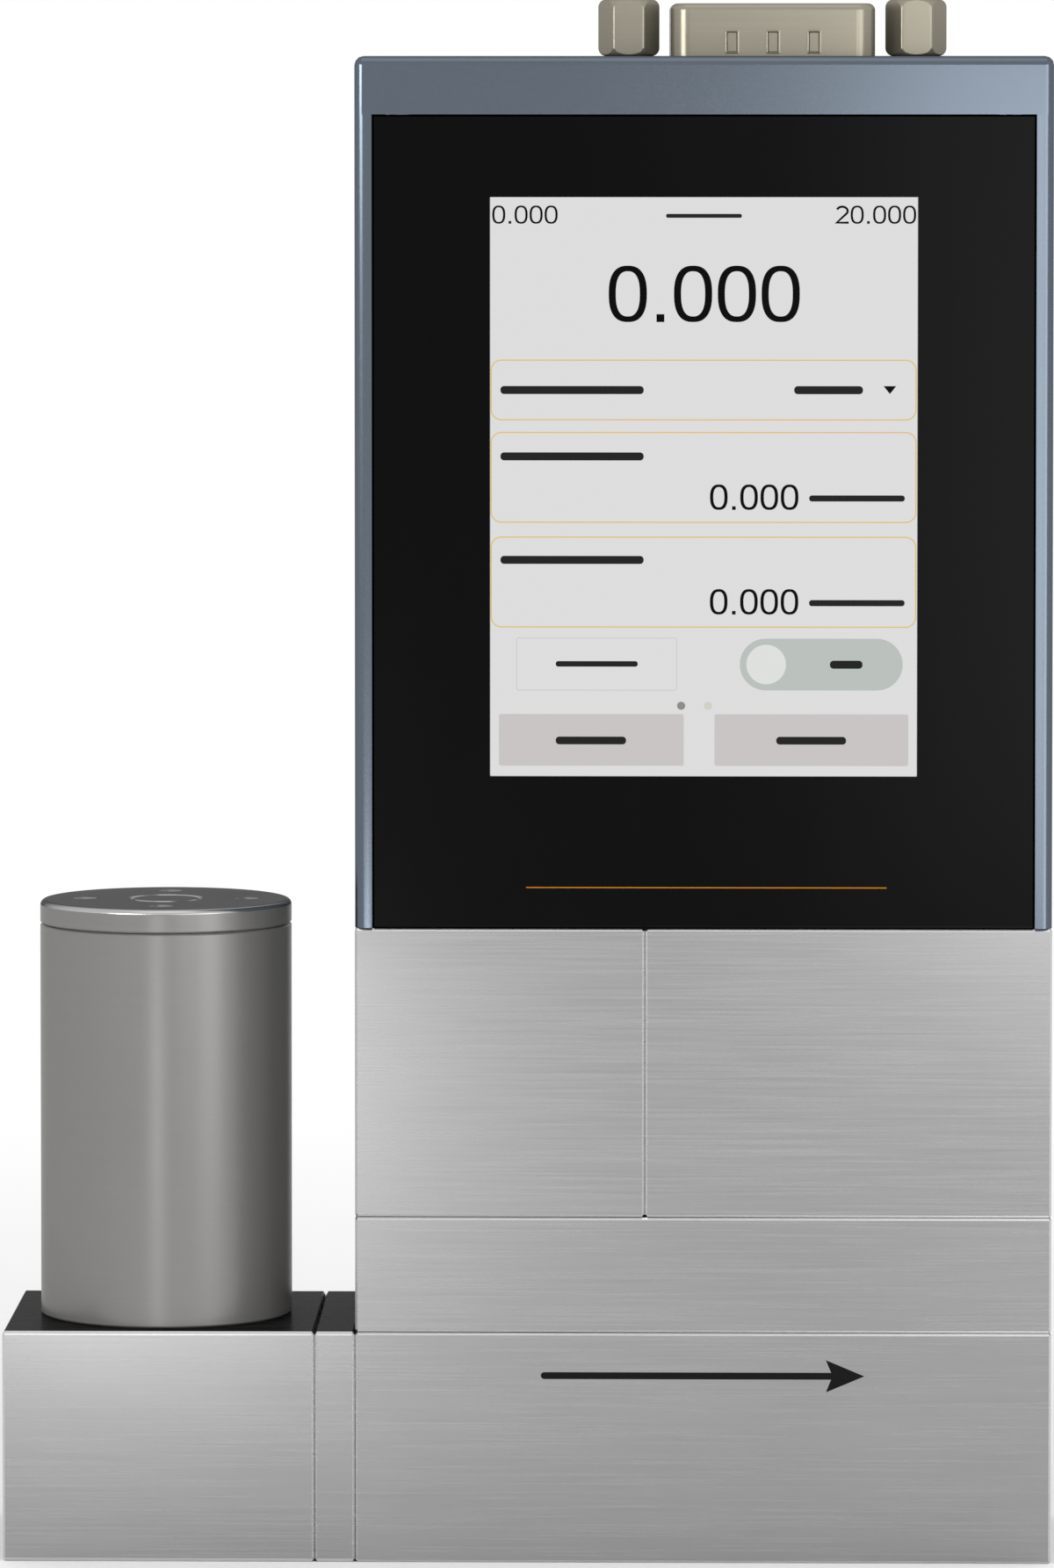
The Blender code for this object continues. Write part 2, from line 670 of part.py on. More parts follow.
def build_flow_body():
    body = chamfered_box(
        "flow_body",
        (BODY_LEFT, FRONT, 0),
        (RIGHT, BACK, BODY_HEIGHT - SEAM),
        BODY_CHAMFER,
        "brushed_steel",
    )
    right, left, up, down = (1, 0, 0), (-1, 0, 0), (0, 0, 1), (0, 0, -1)
    entry = (BODY_LEFT, 0, PORT_HEIGHT)
    outlet = (RIGHT, 0, PORT_HEIGHT)
    drill(body, entry, right, ELEMENT_END + SEAM - BODY_LEFT, ELEMENT_BORE, RING_SIDES)
    drill(body, entry, right, PLENUM_END - BODY_LEFT, ELEMENT_BORE - ELEMENT_STEP, RING_SIDES)
    drill(body, outlet, left, RIGHT - PLENUM_END + ELEMENT_STEP, OUTLET_PASSAGE_RADIUS)
    drill(body, outlet, left, PORT_DEPTH, PORT_RADIUS, BORE_SIDES)
    flare(body, outlet, left, PORT_RADIUS, PORT_MOUTH)
    top = BODY_HEIGHT - SEAM
    for x in (UPSTREAM_TAP, DOWNSTREAM_TAP, ABSOLUTE_TAP):
        drill(body, (x, 0, top), down, top - PORT_HEIGHT, TAP_RADIUS)
    drill(body, (PROBE_PLACE, 0, top), down, top - PORT_HEIGHT, PROBE_HOLE)
    for y, z in VALVE_SCREW_PLACES:
        drill(body, (BODY_LEFT, y, z), right, VALVE_SCREW_GRIP + SLIP, SMALL_SCREW.shank + SLIP)
    for x, y in BODY_SCREW_PLACES:
        sink = LARGE_SCREW.head_height + HEAD_SUNK
        drill(body, (x, y, 0), up, sink, LARGE_SCREW.head + SLIP)
        drill(body, (x, y, 0), up, BODY_HEIGHT + OVERCUT, LARGE_SCREW.shank + SLIP)
    for y in (-MOUNT_HOLE_SPREAD, MOUNT_HOLE_SPREAD):
        drill(body, (BODY_MIDDLE, y, 0), up, MOUNT_HOLE_DEPTH, MOUNT_HOLE_RADIUS)


def capillary_places():
    """Hexagonal rings of capillaries round the middle one."""
    places = [(0.0, 0.0)]
    for ring in range(1, CAPILLARY_RINGS + 1):
        corners = [Vector((math.cos(a), math.sin(a))) for a in (math.pi / 3 * i for i in range(6))]
        for side in range(6):
            start, end = corners[side], corners[(side + 1) % 6]
            for step in range(ring):
                spot = start.lerp(end, step / ring) * ring * CAPILLARY_PITCH
                places.append((spot.x, spot.y))
    return places


def build_laminar_element():
    start = (ELEMENT_START, 0, PORT_HEIGHT)
    end = (ELEMENT_END, 0, PORT_HEIGHT)
    element = rod("laminar_element", start, end, ELEMENT_RADIUS, "turned_steel", RING_SIDES)
    tubes = [
        rod(
            "capillary",
            (ELEMENT_START - OVERCUT, y, PORT_HEIGHT + z),
            (ELEMENT_END + OVERCUT, y, PORT_HEIGHT + z),
            CAPILLARY_RADIUS,
            sides=FINE_SIDES,
        )
        for y, z in capillary_places()
    ]
    cut(element, joined("capillaries", tubes))
    outer = ELEMENT_BORE - SLIP
    inner = outer - RETAINER_WIDTH
    profile = [(outer, 0), (outer, -RETAINER_THICKNESS), (inner, -RETAINER_THICKNESS), (inner, 0)]
    place_of_ring = (ELEMENT_START - SEAM, 0, PORT_HEIGHT)
    turned("element_retainer", profile, place_of_ring, "turned_steel", RING_SIDES, (1, 0, 0))


def build_manifold_plate():
    top = MANIFOLD_TOP - SEAM
    plate = chamfered_box(
        "manifold_plate",
        (BODY_LEFT, FRONT, BODY_HEIGHT),
        (RIGHT, BACK, top),
        BODY_CHAMFER,
        "brushed_steel",
    )
    through = MANIFOLD_HEIGHT + OVERCUT
    up = (0, 0, 1)
    holes = {
        "upstream": (UPSTREAM_TAP, TAP_RADIUS),
        "downstream": (DOWNSTREAM_TAP, TAP_RADIUS),
        "absolute": (ABSOLUTE_TAP, TAP_RADIUS),
        "probe": (PROBE_PLACE, PROBE_HOLE),
    }
    for name, (x, radius) in holes.items():
        foot = (x, 0, BODY_HEIGHT)
        drill(plate, foot, up, through, radius)
        drill(plate, foot, up, 2 * SEAL_SECTION + SEAM, TAP_SEAL_RADIUS + SEAL_SECTION + SLIP)
        ring_place = (x, 0, BODY_HEIGHT + SEAL_SECTION)
        seal_ring(f"tap_seal_{name}", ring_place, TAP_SEAL_RADIUS, SEAL_SECTION, steps=ROD_SIDES)
    for x, y in BODY_SCREW_PLACES:
        drill(plate, (x, y, BODY_HEIGHT), up, through, LARGE_SCREW.shank + SLIP)


def build_sensor_block(name, left, right):
    middle = (left + right) / 2
    block = chamfered_box(
        name,
        (left, FRONT, MANIFOLD_TOP),
        (right, BACK, CASE_BOTTOM - SEAM),
        BODY_CHAMFER,
        "brushed_steel",
    )
    pocket = box(
        f"{name}_pocket",
        (middle - POCKET_WIDTH / 2, -POCKET_DEPTH / 2, MANIFOLD_TOP - OVERCUT),
        (middle + POCKET_WIDTH / 2, POCKET_DEPTH / 2, MANIFOLD_TOP + POCKET_HEIGHT),
    )
    cut(block, pocket)
    to_pocket = SENSOR_BLOCK_HEIGHT - POCKET_HEIGHT / 2
    drill(block, (middle, 0, CASE_BOTTOM), (0, 0, -1), to_pocket, WIRE_HOLE_RADIUS)
    for x, y in BODY_SCREW_PLACES:
        if left < x < right:
            depth = BODY_SCREW_GRIP + SLIP
            drill(block, (x, y, MANIFOLD_TOP), (0, 0, 1), depth, LARGE_SCREW.shank + SLIP)
    for x, y in CASE_SCREW_PLACES:
        if left < x < right:
            depth = CASE_SCREW_GRIP + SLIP
            drill(block, (x, y, CASE_BOTTOM), (0, 0, -1), depth, SMALL_SCREW.shank + SLIP)


def build_sensors():
    base = MANIFOLD_TOP
    size = DIFFERENTIAL_SIZE
    low = (LEFT_BLOCK_MIDDLE - size.x / 2, -size.y / 2, base)
    high = (LEFT_BLOCK_MIDDLE + size.x / 2, size.y / 2, base + size.z)
    sensor = box("differential_pressure_sensor", low, high, "black_plastic")
    for x in (UPSTREAM_TAP, DOWNSTREAM_TAP):
        tip = (x, 0, base - NOZZLE_LENGTH)
        fuse(sensor, rod("nozzle", (x, 0, base + OVERCUT), tip, NOZZLE_RADIUS, sides=PIN_SIDES))

    size = ABSOLUTE_SIZE
    low = (ABSOLUTE_TAP - size.x / 2, -size.y / 2, base)
    high = (ABSOLUTE_TAP + size.x / 2, size.y / 2, base + size.z)
    sensor = box("absolute_pressure_sensor", low, high, "black_plastic")
    top = (ABSOLUTE_TAP, 0, base + size.z + ABSOLUTE_CAP_HEIGHT)
    tip = (ABSOLUTE_TAP, 0, base - NOZZLE_LENGTH)
    fuse(
        sensor,
        rod("sensor_can", (ABSOLUTE_TAP, 0, base + size.z - OVERCUT), top, ABSOLUTE_CAP_RADIUS),
        rod("nozzle", (ABSOLUTE_TAP, 0, base + OVERCUT), tip, NOZZLE_RADIUS, sides=PIN_SIDES),
    )

    tip = PORT_HEIGHT
    profile = [
        (0, base + PROBE_HEAD_HEIGHT),
        (PROBE_HEAD_RADIUS, base + PROBE_HEAD_HEIGHT),
        (PROBE_HEAD_RADIUS, base),
        (PROBE_RADIUS, base),
        (PROBE_RADIUS, tip + PROBE_TIP_LENGTH),
        (PROBE_TIP_RADIUS, tip + PROBE_TIP_LENGTH - PROBE_TIP_RADIUS),
        (PROBE_TIP_RADIUS, tip),
        (0, tip),
    ]
    turned("temperature_probe", profile, (PROBE_PLACE, 0, 0), "turned_steel", ROD_SIDES)


def build_valve():
    axis = (VALVE_AXIS, 0, 0)
    seat_bottom = CHAMBER_FLOOR - SEAT_DEPTH
    lip_foot = SEAT_TOP - SEAT_LIP_HEIGHT
    profile = [
        (SEAT_LIP_RADIUS, SEAT_TOP),
        (SEAT_LIP_RADIUS, lip_foot),
        (SEAT_RADIUS, lip_foot),
        (SEAT_RADIUS, seat_bottom),
        (ORIFICE_RADIUS, seat_bottom),
        (ORIFICE_RADIUS, SEAT_TOP),
    ]
    turned("orifice_seat", profile, axis, "turned_steel", ROD_SIDES)

    seal_middle = CHAMBER_FLOOR + SEAM + VALVE_SEAL_SECTION
    seal_ring("guide_tube_seal", (VALVE_AXIS, 0, seal_middle), VALVE_SEAL_RADIUS, VALVE_SEAL_SECTION)

    flange_bottom = seal_middle + VALVE_SEAL_SECTION + SEAM
    flange_top = BODY_HEIGHT - SEAM
    tube_top = CORE_SHOULDER - COIL_CLEARANCE
    profile = [
        (GUIDE_OUTSIDE, tube_top),
        (GUIDE_OUTSIDE, flange_top),
        (GUIDE_FLANGE_RADIUS, flange_top),
        (GUIDE_FLANGE_RADIUS, flange_bottom),
        (GUIDE_BORE, flange_bottom),
        (GUIDE_BORE, tube_top),
    ]
    turned("guide_tube", profile, axis, "turned_steel")

    pocket_roof = PLUNGER_BOTTOM - SEAL_DISC_PROUD + SEAL_DISC_HEIGHT + SEAM
    pocket_floor = PLUNGER_TOP - SPRING_POCKET_DEPTH
    profile = [
        (0, pocket_floor),
        (SPRING_POCKET_RADIUS, pocket_floor),
        (SPRING_POCKET_RADIUS, PLUNGER_TOP),
        (PLUNGER_RADIUS, PLUNGER_TOP),
        (PLUNGER_RADIUS, PLUNGER_BOTTOM),
        (SEAL_DISC_RADIUS + SLIP, PLUNGER_BOTTOM),
        (SEAL_DISC_RADIUS + SLIP, pocket_roof),
        (0, pocket_roof),
    ]
    plunger = turned("valve_plunger", profile, axis, "turned_steel")
    for side in (-1, 1):
        deep = side * (PLUNGER_RADIUS - GAS_SLOT_DEPTH)
        out = side * (PLUNGER_RADIUS + OVERCUT)
        slot = box(
            "gas_slot",
            (VALVE_AXIS + min(deep, out), -GAS_SLOT_WIDTH / 2, PLUNGER_BOTTOM - OVERCUT),
            (VALVE_AXIS + max(deep, out), GAS_SLOT_WIDTH / 2, PLUNGER_TOP + OVERCUT),
        )
        cut(plunger, slot)
    disc_top = SEAL_FACE + SEAL_DISC_HEIGHT
    rod("plunger_seal", (VALVE_AXIS, 0, SEAL_FACE), (VALVE_AXIS, 0, disc_top), SEAL_DISC_RADIUS, "rubber")
    build_spring(pocket_floor + SEAM, CORE_BOTTOM - SEAM)

    stud_top = LID_TOP
    profile = [
        (0, stud_top),
        (STUD_RADIUS - STUD_CHAMFER, stud_top),
        (STUD_RADIUS, stud_top - STUD_CHAMFER),
        (STUD_RADIUS, CORE_SHOULDER),
        (PLUNGER_RADIUS + SLIP / 2, CORE_SHOULDER),
        (PLUNGER_RADIUS + SLIP / 2, CORE_BOTTOM),
        (0, CORE_BOTTOM),
    ]
    turned("pole_core", profile, axis, "turned_steel")


def build_spring(bottom, top):
    """A coil from bottom to top whose last turn at each end lies almost flat."""
    flat_rise = SPRING_FLAT_TURNS * SPRING_FLAT_PITCH
    low = bottom + SPRING_WIRE_RADIUS
    high = top - SPRING_WIRE_RADIUS
    turns = SPRING_TURNS + 2 * SPRING_FLAT_TURNS
    curve = bpy.data.curves.new("plunger_spring", "CURVE")
    curve.dimensions = "3D"
    curve.bevel_depth = SPRING_WIRE_RADIUS
    curve.bevel_resolution = 0
    curve.use_fill_caps = True
    spline = curve.splines.new("POLY")
    spline.points.add(SPRING_POINTS_PER_TURN * turns)
    for index, point in enumerate(spline.points):
        turn = index / SPRING_POINTS_PER_TURN
        from_top = turns - turn
        if turn < SPRING_FLAT_TURNS:
            height = low + SPRING_FLAT_PITCH * turn
        elif from_top < SPRING_FLAT_TURNS:
            height = high - SPRING_FLAT_PITCH * from_top
        else:
            share = (turn - SPRING_FLAT_TURNS) / SPRING_TURNS
            height = low + flat_rise + share * (high - low - 2 * flat_rise)
        angle = 2 * math.pi * turn
        point.co = (SPRING_RADIUS * math.cos(angle), SPRING_RADIUS * math.sin(angle), height, 1)
    coil = bpy.data.objects.new("plunger_spring", curve)
    coil.location = (VALVE_AXIS, 0, 0)
    curve.materials.append(make_material("turned_steel"))
    PARTS.objects.link(coil)


def build_solenoid():
    axis = (VALVE_AXIS, 0, 0)
    can_top = LID_SEAM - SEAM
    inside = SOLENOID_RADIUS - CAN_WALL
    floor = CAN_BOTTOM + CAN_FLOOR
    profile = [
        (SOLENOID_RADIUS - CAN_CHAMFER, can_top),
        (SOLENOID_RADIUS, can_top - CAN_CHAMFER),
        (SOLENOID_RADIUS, CAN_BOTTOM + CAN_CHAMFER),
        (SOLENOID_RADIUS - CAN_CHAMFER, CAN_BOTTOM),
        (BOBBIN_BORE, CAN_BOTTOM),
        (BOBBIN_BORE, floor),
        (inside, floor),
        (inside, can_top),
    ]
    turned("solenoid_housing", profile, axis, "turned_steel", COIL_SIDES)

    stud_hole = STUD_RADIUS + SLIP
    spigot = inside - SLIP
    corner = SOLENOID_RADIUS - LID_FILLET
    profile = [(stud_hole + STUD_CHAMFER, LID_TOP)]
    profile += [(corner + out, LID_TOP - drop) for out, drop in fillet_points(LID_FILLET)]
    profile += [
        (SOLENOID_RADIUS, LID_SEAM + CAN_CHAMFER),
        (SOLENOID_RADIUS - CAN_CHAMFER, LID_SEAM),
        (spigot, LID_SEAM),
        (spigot, SPIGOT_BOTTOM),
        (stud_hole, SPIGOT_BOTTOM),
        (stud_hole, LID_TOP - STUD_CHAMFER),
    ]
    lid = turned("solenoid_lid", profile, axis, "turned_steel", COIL_SIDES)
    for quarter in range(4):
        angle = math.pi / 2 * quarter
        x = VALVE_AXIS + KEY_HOLE_CIRCLE * math.cos(angle)
        y = KEY_HOLE_CIRCLE * math.sin(angle)
        drill(lid, (x, y, LID_TOP), (0, 0, -1), KEY_HOLE_DEPTH, KEY_HOLE_RADIUS)

    wall = BOBBIN_BORE + BOBBIN_WALL
    profile = [
        (BOBBIN_FLANGE_RADIUS, BOBBIN_TOP),
        (BOBBIN_FLANGE_RADIUS, BOBBIN_TOP - BOBBIN_FLANGE),
        (wall, BOBBIN_TOP - BOBBIN_FLANGE),
        (wall, BOBBIN_BOTTOM + BOBBIN_FLANGE),
        (BOBBIN_FLANGE_RADIUS, BOBBIN_BOTTOM + BOBBIN_FLANGE),
        (BOBBIN_FLANGE_RADIUS, BOBBIN_BOTTOM),
        (BOBBIN_BORE, BOBBIN_BOTTOM),
        (BOBBIN_BORE, BOBBIN_TOP),
    ]
    turned("coil_bobbin", profile, axis, "black_plastic")
    top = BOBBIN_TOP - BOBBIN_FLANGE - SLIP
    bottom = BOBBIN_BOTTOM + BOBBIN_FLANGE + SLIP
    inner = wall + COIL_CLEARANCE
    profile = [(WINDING_RADIUS, top), (WINDING_RADIUS, bottom), (inner, bottom), (inner, top)]
    turned("coil_winding", profile, axis, "copper")


def build_case():
    top = CASE_TOP - SEAM
    case = box("case_shell", (BODY_LEFT, FRONT, CASE_BOTTOM), (RIGHT, BACK, top), "blue_anodised")
    round_edges(case, CASE_FILLET, FILLET_STEPS + 1, lambda a, b: a.x == b.x and a.y == b.y)
    below, above = CASE_BOTTOM - OVERCUT, CASE_TOP + OVERCUT
    low, high = (PANEL_LEFT, FRONT - OVERCUT, below), (PANEL_RIGHT, BACK - CASE_WALL, above)
    cut(case, box("case_cavity", low, high))
    for x, y in CASE_SCREW_PLACES:
        fuse(case, rod("screw_boss", (x, y, CASE_BOTTOM), (x, y, top), BOSS_RADIUS))
    slot_front = BOARD_FRONT - SLIP
    slot_back = BOARD_FRONT + BOARD_THICKNESS + SLIP
    rail_front = (slot_front + slot_back - BOARD_RAIL_WIDTH) / 2
    reach = CASE_WALL / 2
    for inside, side in ((PANEL_LEFT, 1), (PANEL_RIGHT, -1)):
        edges = sorted((inside - side * reach, inside + side * BOARD_RAIL_DEPTH))
        low = (edges[0], rail_front, CASE_BOTTOM)
        fuse(case, box("board_rail", low, (edges[1], rail_front + BOARD_RAIL_WIDTH, top)))
    slot_half = BODY_WIDTH / 2 - CASE_WALL - BOARD_RAIL_DEPTH + BOARD_SLOT_DEPTH
    low = (BODY_MIDDLE - slot_half, slot_front, below)
    cut(case, box("board_slot", low, (BODY_MIDDLE + slot_half, slot_back, above)))
    for x, y in CASE_SCREW_PLACES:
        drill(case, (x, y, CASE_BOTTOM), (0, 0, 1), CASE_HEIGHT + OVERCUT, SMALL_SCREW.shank + SLIP)


def build_front():
    panel = chamfered_box(
        "front_panel",
        (PANEL_LEFT + SEAM, FRONT + SEAM, CASE_BOTTOM + SEAM),
        (PANEL_RIGHT - SEAM, PANEL_BACK, CASE_TOP - SEAM),
        PANEL_CHAMFER,
        "black_glass",
    )
    half = SCREEN_WIDTH / 2
    low_z = SCREEN_MIDDLE - SCREEN_HEIGHT / 2
    high_z = SCREEN_MIDDLE + SCREEN_HEIGHT / 2
    window = box(
        "screen_window",
        (BODY_MIDDLE - half, FRONT - OVERCUT, low_z),
        (BODY_MIDDLE + half, PANEL_BACK + OVERCUT, high_z),
    )
    cut(panel, window)
    display = box(
        "display_module",
        (BODY_MIDDLE - half - DISPLAY_BORDER_SIDE, DISPLAY_FRONT, DISPLAY_BOTTOM),
        (BODY_MIDDLE + half + DISPLAY_BORDER_SIDE, DISPLAY_BACK, high_z + DISPLAY_BORDER_END),
        "screen",
    )
    screen = box(
        "screen_face",
        (BODY_MIDDLE - half + SEAM, FRONT + SEAM, low_z + SEAM),
        (BODY_MIDDLE + half - SEAM, DISPLAY_FRONT + DISPLAY_THICKNESS / 2, high_z - SEAM),
    )
    fuse(display, screen)


def build_boards():
    back = BOARD_FRONT + BOARD_THICKNESS
    board = box(
        "main_board",
        (BODY_MIDDLE - BOARD_HALF_WIDTH, BOARD_FRONT, BOARD_BOTTOM),
        (BODY_MIDDLE + BOARD_HALF_WIDTH, back, BOARD_TOP),
        "circuit_board",
    )
    for chip in CHIPS:
        middle = Vector((BODY_MIDDLE + chip.across, back, BOARD_MIDDLE + chip.up))
        low = middle - Vector((chip.width / 2, BOARD_THICKNESS / 2, chip.height / 2))
        high = middle + Vector((chip.width / 2, chip.thickness, chip.height / 2))
        fuse(board, box(chip.name, low, high))

    edge = CASE_SCREW_INSET + BOSS_RADIUS + COIL_CLEARANCE
    bottom = CASE_BOTTOM + SENSOR_BOARD_LIFT
    low = (BODY_LEFT + edge, -SENSOR_BOARD_DEPTH / 2, bottom)
    high = (RIGHT - edge, SENSOR_BOARD_DEPTH / 2, bottom + BOARD_THICKNESS)
    box("sensor_board", low, high, "circuit_board")
    build_ribbon()


def build_ribbon():
    """The flat lead that bends down from the back of the display to the front of the board."""
    start = Vector((DISPLAY_BACK + RIBBON_THICKNESS, DISPLAY_BOTTOM + RIBBON_DROP))
    end = Vector((BOARD_FRONT - RIBBON_THICKNESS, DISPLAY_BOTTOM))
    left = BODY_MIDDLE - RIBBON_WIDTH / 2
    shape = bmesh.new()
    verts = []
    for index in range(RIBBON_POINTS):
        share = index / (RIBBON_POINTS - 1)
        eased = (1 - math.cos(math.pi * share)) / 2
        y = start.x + (end.x - start.x) * eased
        z = start.y + (end.y - start.y) * share
        verts.append(shape.verts.new((left, y, z)))
    edges = [shape.edges.new(pair) for pair in zip(verts, verts[1:])]
    swept = bmesh.ops.extrude_edge_only(shape, edges=edges)
    moved = [item for item in swept["geom"] if isinstance(item, bmesh.types.BMVert)]
    bmesh.ops.translate(shape, verts=moved, vec=(RIBBON_WIDTH, 0, 0))
    bmesh.ops.recalc_face_normals(shape, faces=shape.faces)
    mesh = bpy.data.meshes.new("display_ribbon")
    shape.to_mesh(mesh)
    shape.free()
    ribbon = place("display_ribbon", mesh, "ribbon")
    sheet = ribbon.modifiers.new("sheet", "SOLIDIFY")
    sheet.thickness = RIBBON_THICKNESS
    sheet.offset = 0


def build_cap():
    cap = box("top_cap", (BODY_LEFT, FRONT, CASE_TOP), (RIGHT, BACK, CAP_TOP), "blue_anodised")
    round_edges(cap, CASE_FILLET, FILLET_STEPS + 1, lambda a, b: max(a.z, b.z) > 0)
    roof = CAP_TOP - CAP_ROOF
    inner_back = BACK - CASE_WALL
    low = (PANEL_LEFT, -inner_back, CASE_TOP - OVERCUT)
    cut(cap, box("cap_hollow", low, (PANEL_RIGHT, inner_back, roof)))
    reach = CASE_WALL / 2
    pad_x = (BODY_WIDTH / 2 - CAP_CORNER, BODY_WIDTH / 2 - reach)
    pad_y = (min(BACK_BOSS, -FRONT_BOSS) - BOSS_RADIUS, BACK - reach)
    for side_x in (-1, 1):
        for side_y in (-1, 1):
            x = sorted(BODY_MIDDLE + side_x * out for out in pad_x)
            y = sorted(side_y * out for out in pad_y)
            pad = box("corner_pad", (x[0], y[0], CASE_TOP), (x[1], y[1], roof + CAP_ROOF / 2))
            fuse(cap, pad)
    middle = (CONNECTOR_MIDDLE, 0)
    cut(cap, slab("shell_cut_out", [shell_outline(-SLIP)], middle, roof - OVERCUT, CAP_TOP + OVERCUT))
    for side in (-1, 1):
        top = (CONNECTOR_MIDDLE + side * JACK_SPACING / 2, 0, CAP_TOP)
        drill(cap, top, (0, 0, -1), CAP_ROOF + OVERCUT, JACK_STUD_RADIUS + SLIP)
    head = SMALL_SCREW.head + SLIP
    shank = SMALL_SCREW.shank + SLIP
    for x, y in CASE_SCREW_PLACES:
        top = (x, y, CAP_TOP)
        drill(cap, top, (0, 0, -1), CAP_HEIGHT + OVERCUT, shank)
        flare(cap, top, (0, 0, -1), shank, head - shank, ROD_SIDES)


def build_connector():
    middle = (CONNECTOR_MIDDLE, 0)
    levels = [(0.0, FLANGE_BOTTOM)]
    levels += [(SHELL_RIM - out, SHELL_TOP - drop) for out, drop in reversed(fillet_points(SHELL_RIM))]
    shape = bmesh.new()
    rings = [[shape.verts.new((*point, z)) for point in shell_outline(inset)] for inset, z in levels]
    for lower, upper in zip(rings, rings[1:]):
        for i in range(len(lower)):
            shape.faces.new((lower[i - 1], lower[i], upper[i], upper[i - 1]))
    mesh = bpy.data.meshes.new("dsub_shell")
    shape.to_mesh(mesh)
    shape.free()
    shell = place("dsub_shell", mesh, "nickel", (*middle, 0))
    sheet = shell.modifiers.new("sheet", "SOLIDIFY")
    sheet.thickness = SHELL_SHEET
    sheet.offset = -1

    holes = [circle((side * JACK_SPACING / 2, 0), JACK_STUD_RADIUS + SLIP) for side in (-1, 1)]
    outlines = [oblong(FLANGE_WIDTH, FLANGE_DEPTH, FLANGE_CORNER), shell_outline(SHELL_SHEET / 2)]
    fuse(shell, slab("flange", outlines + holes, middle, FLANGE_BOTTOM, FLANGE_TOP))
    front = -SHELL_DEPTH / 2
    for step in (-1, 0, 1):
        x = CONNECTOR_MIDDLE + step * DIMPLE_PITCH
        z = CAP_TOP + DIMPLE_LIFT
        half_width, half_height = DIMPLE_WIDTH / 2, DIMPLE_HEIGHT / 2
        frame = box(
            "dimple_frame",
            (x - half_width - DIMPLE_RIM, front - DIMPLE_PROUD, z - half_height - DIMPLE_RIM),
            (x + half_width + DIMPLE_RIM, front + SHELL_SHEET / 2, z + half_height + DIMPLE_RIM),
        )
        bump = box(
            "dimple_bump",
            (x - half_width, front + SHELL_SHEET / 2, z - half_height),
            (x + half_width, front + SHELL_SHEET + DIMPLE_DEPTH, z + half_height),
        )
        hollow = box(
            "dimple_hollow",
            (x - half_width, front - OVERCUT, z - half_height),
            (x + half_width, front + DIMPLE_DEPTH, z + half_height),
        )
        fuse(shell, frame, bump)
        cut(shell, hollow)
    build_insulator()


def pin_places():
    """Five pins along the wide side of the shell and four along the narrow one."""
    for row, count in ((1, 5), (-1, 4)):
        for index in range(count):
            x = CONNECTOR_MIDDLE + (index - (count - 1) / 2) * PIN_PITCH
            yield x, row * PIN_ROW_SPACING / 2


def build_insulator():
    middle = (CONNECTOR_MIDDLE, 0)
    bottom = INSULATOR_BOTTOM
    front = FLANGE_TOP + INSULATOR_FRONT
    clear = SHELL_SHEET + DIMPLE_DEPTH + SLIP
    insulator = slab("dsub_insulator", [shell_outline(clear)], middle, bottom, front, "black_plastic")
    rear = slab("rear_body", [shell_outline(-SLIP)], middle, bottom, FLANGE_BOTTOM - SEAM)
    fuse(insulator, rear)
    places = list(pin_places())
    low, high = bottom - OVERCUT, front + OVERCUT
    hole = PIN_RADIUS + SEAM
    holes = [rod("pin_hole", (x, y, low), (x, y, high), hole, sides=PIN_SIDES) for x, y in places]
    cut(insulator, joined("pin_holes", holes))
    tip = SHELL_TOP - PIN_SHORT
    for number, (x, y) in enumerate(places, 1):
        profile = [
            (0, tip),
            (PIN_RADIUS / 2, tip),
            (PIN_RADIUS, tip - PIN_RADIUS),
            (PIN_RADIUS, PIN_BOTTOM),
            (0, PIN_BOTTOM),
        ]
        turned(f"dsub_pin_{number}", profile, (x, y, 0), "gold", PIN_SIDES)


def build_jackscrews():
    bottom = CAP_TOP + SEAM
    top = CAP_TOP + JACK_HEIGHT
    corner = JACK_ROUND_RADIUS - JACK_ROUND_FILLET
    rounding = [(corner + out, drop) for out, drop in fillet_points(JACK_ROUND_FILLET)]
    profile = [(0, top)] + [(radius, top - drop) for radius, drop in rounding]
    profile += [(radius, bottom + drop) for radius, drop in reversed(rounding)] + [(0, bottom)]
    across_corners = JACK_ACROSS_FLATS / 2 / math.cos(math.pi / 6)
    for side, name in ((-1, "jackscrew_left"), (1, "jackscrew_right")):
        x = CONNECTOR_MIDDLE + side * JACK_SPACING / 2
        screw = turned(name, profile, (x, 0, 0), "nickel")
        hexagon = circle((0, 0), across_corners, 6)
        bar = slab("hexagon", [hexagon], (x, 0), bottom - OVERCUT, top + OVERCUT)
        combine(screw, "INTERSECT", [bar])
        stud_end = bottom - JACK_STUD_LENGTH
        fuse(screw, rod("stud", (x, 0, bottom + OVERCUT), (x, 0, stud_end), JACK_STUD_RADIUS))
        drill(screw, (x, 0, top), (0, 0, -1), JACK_THREAD_DEPTH, JACK_THREAD_RADIUS)


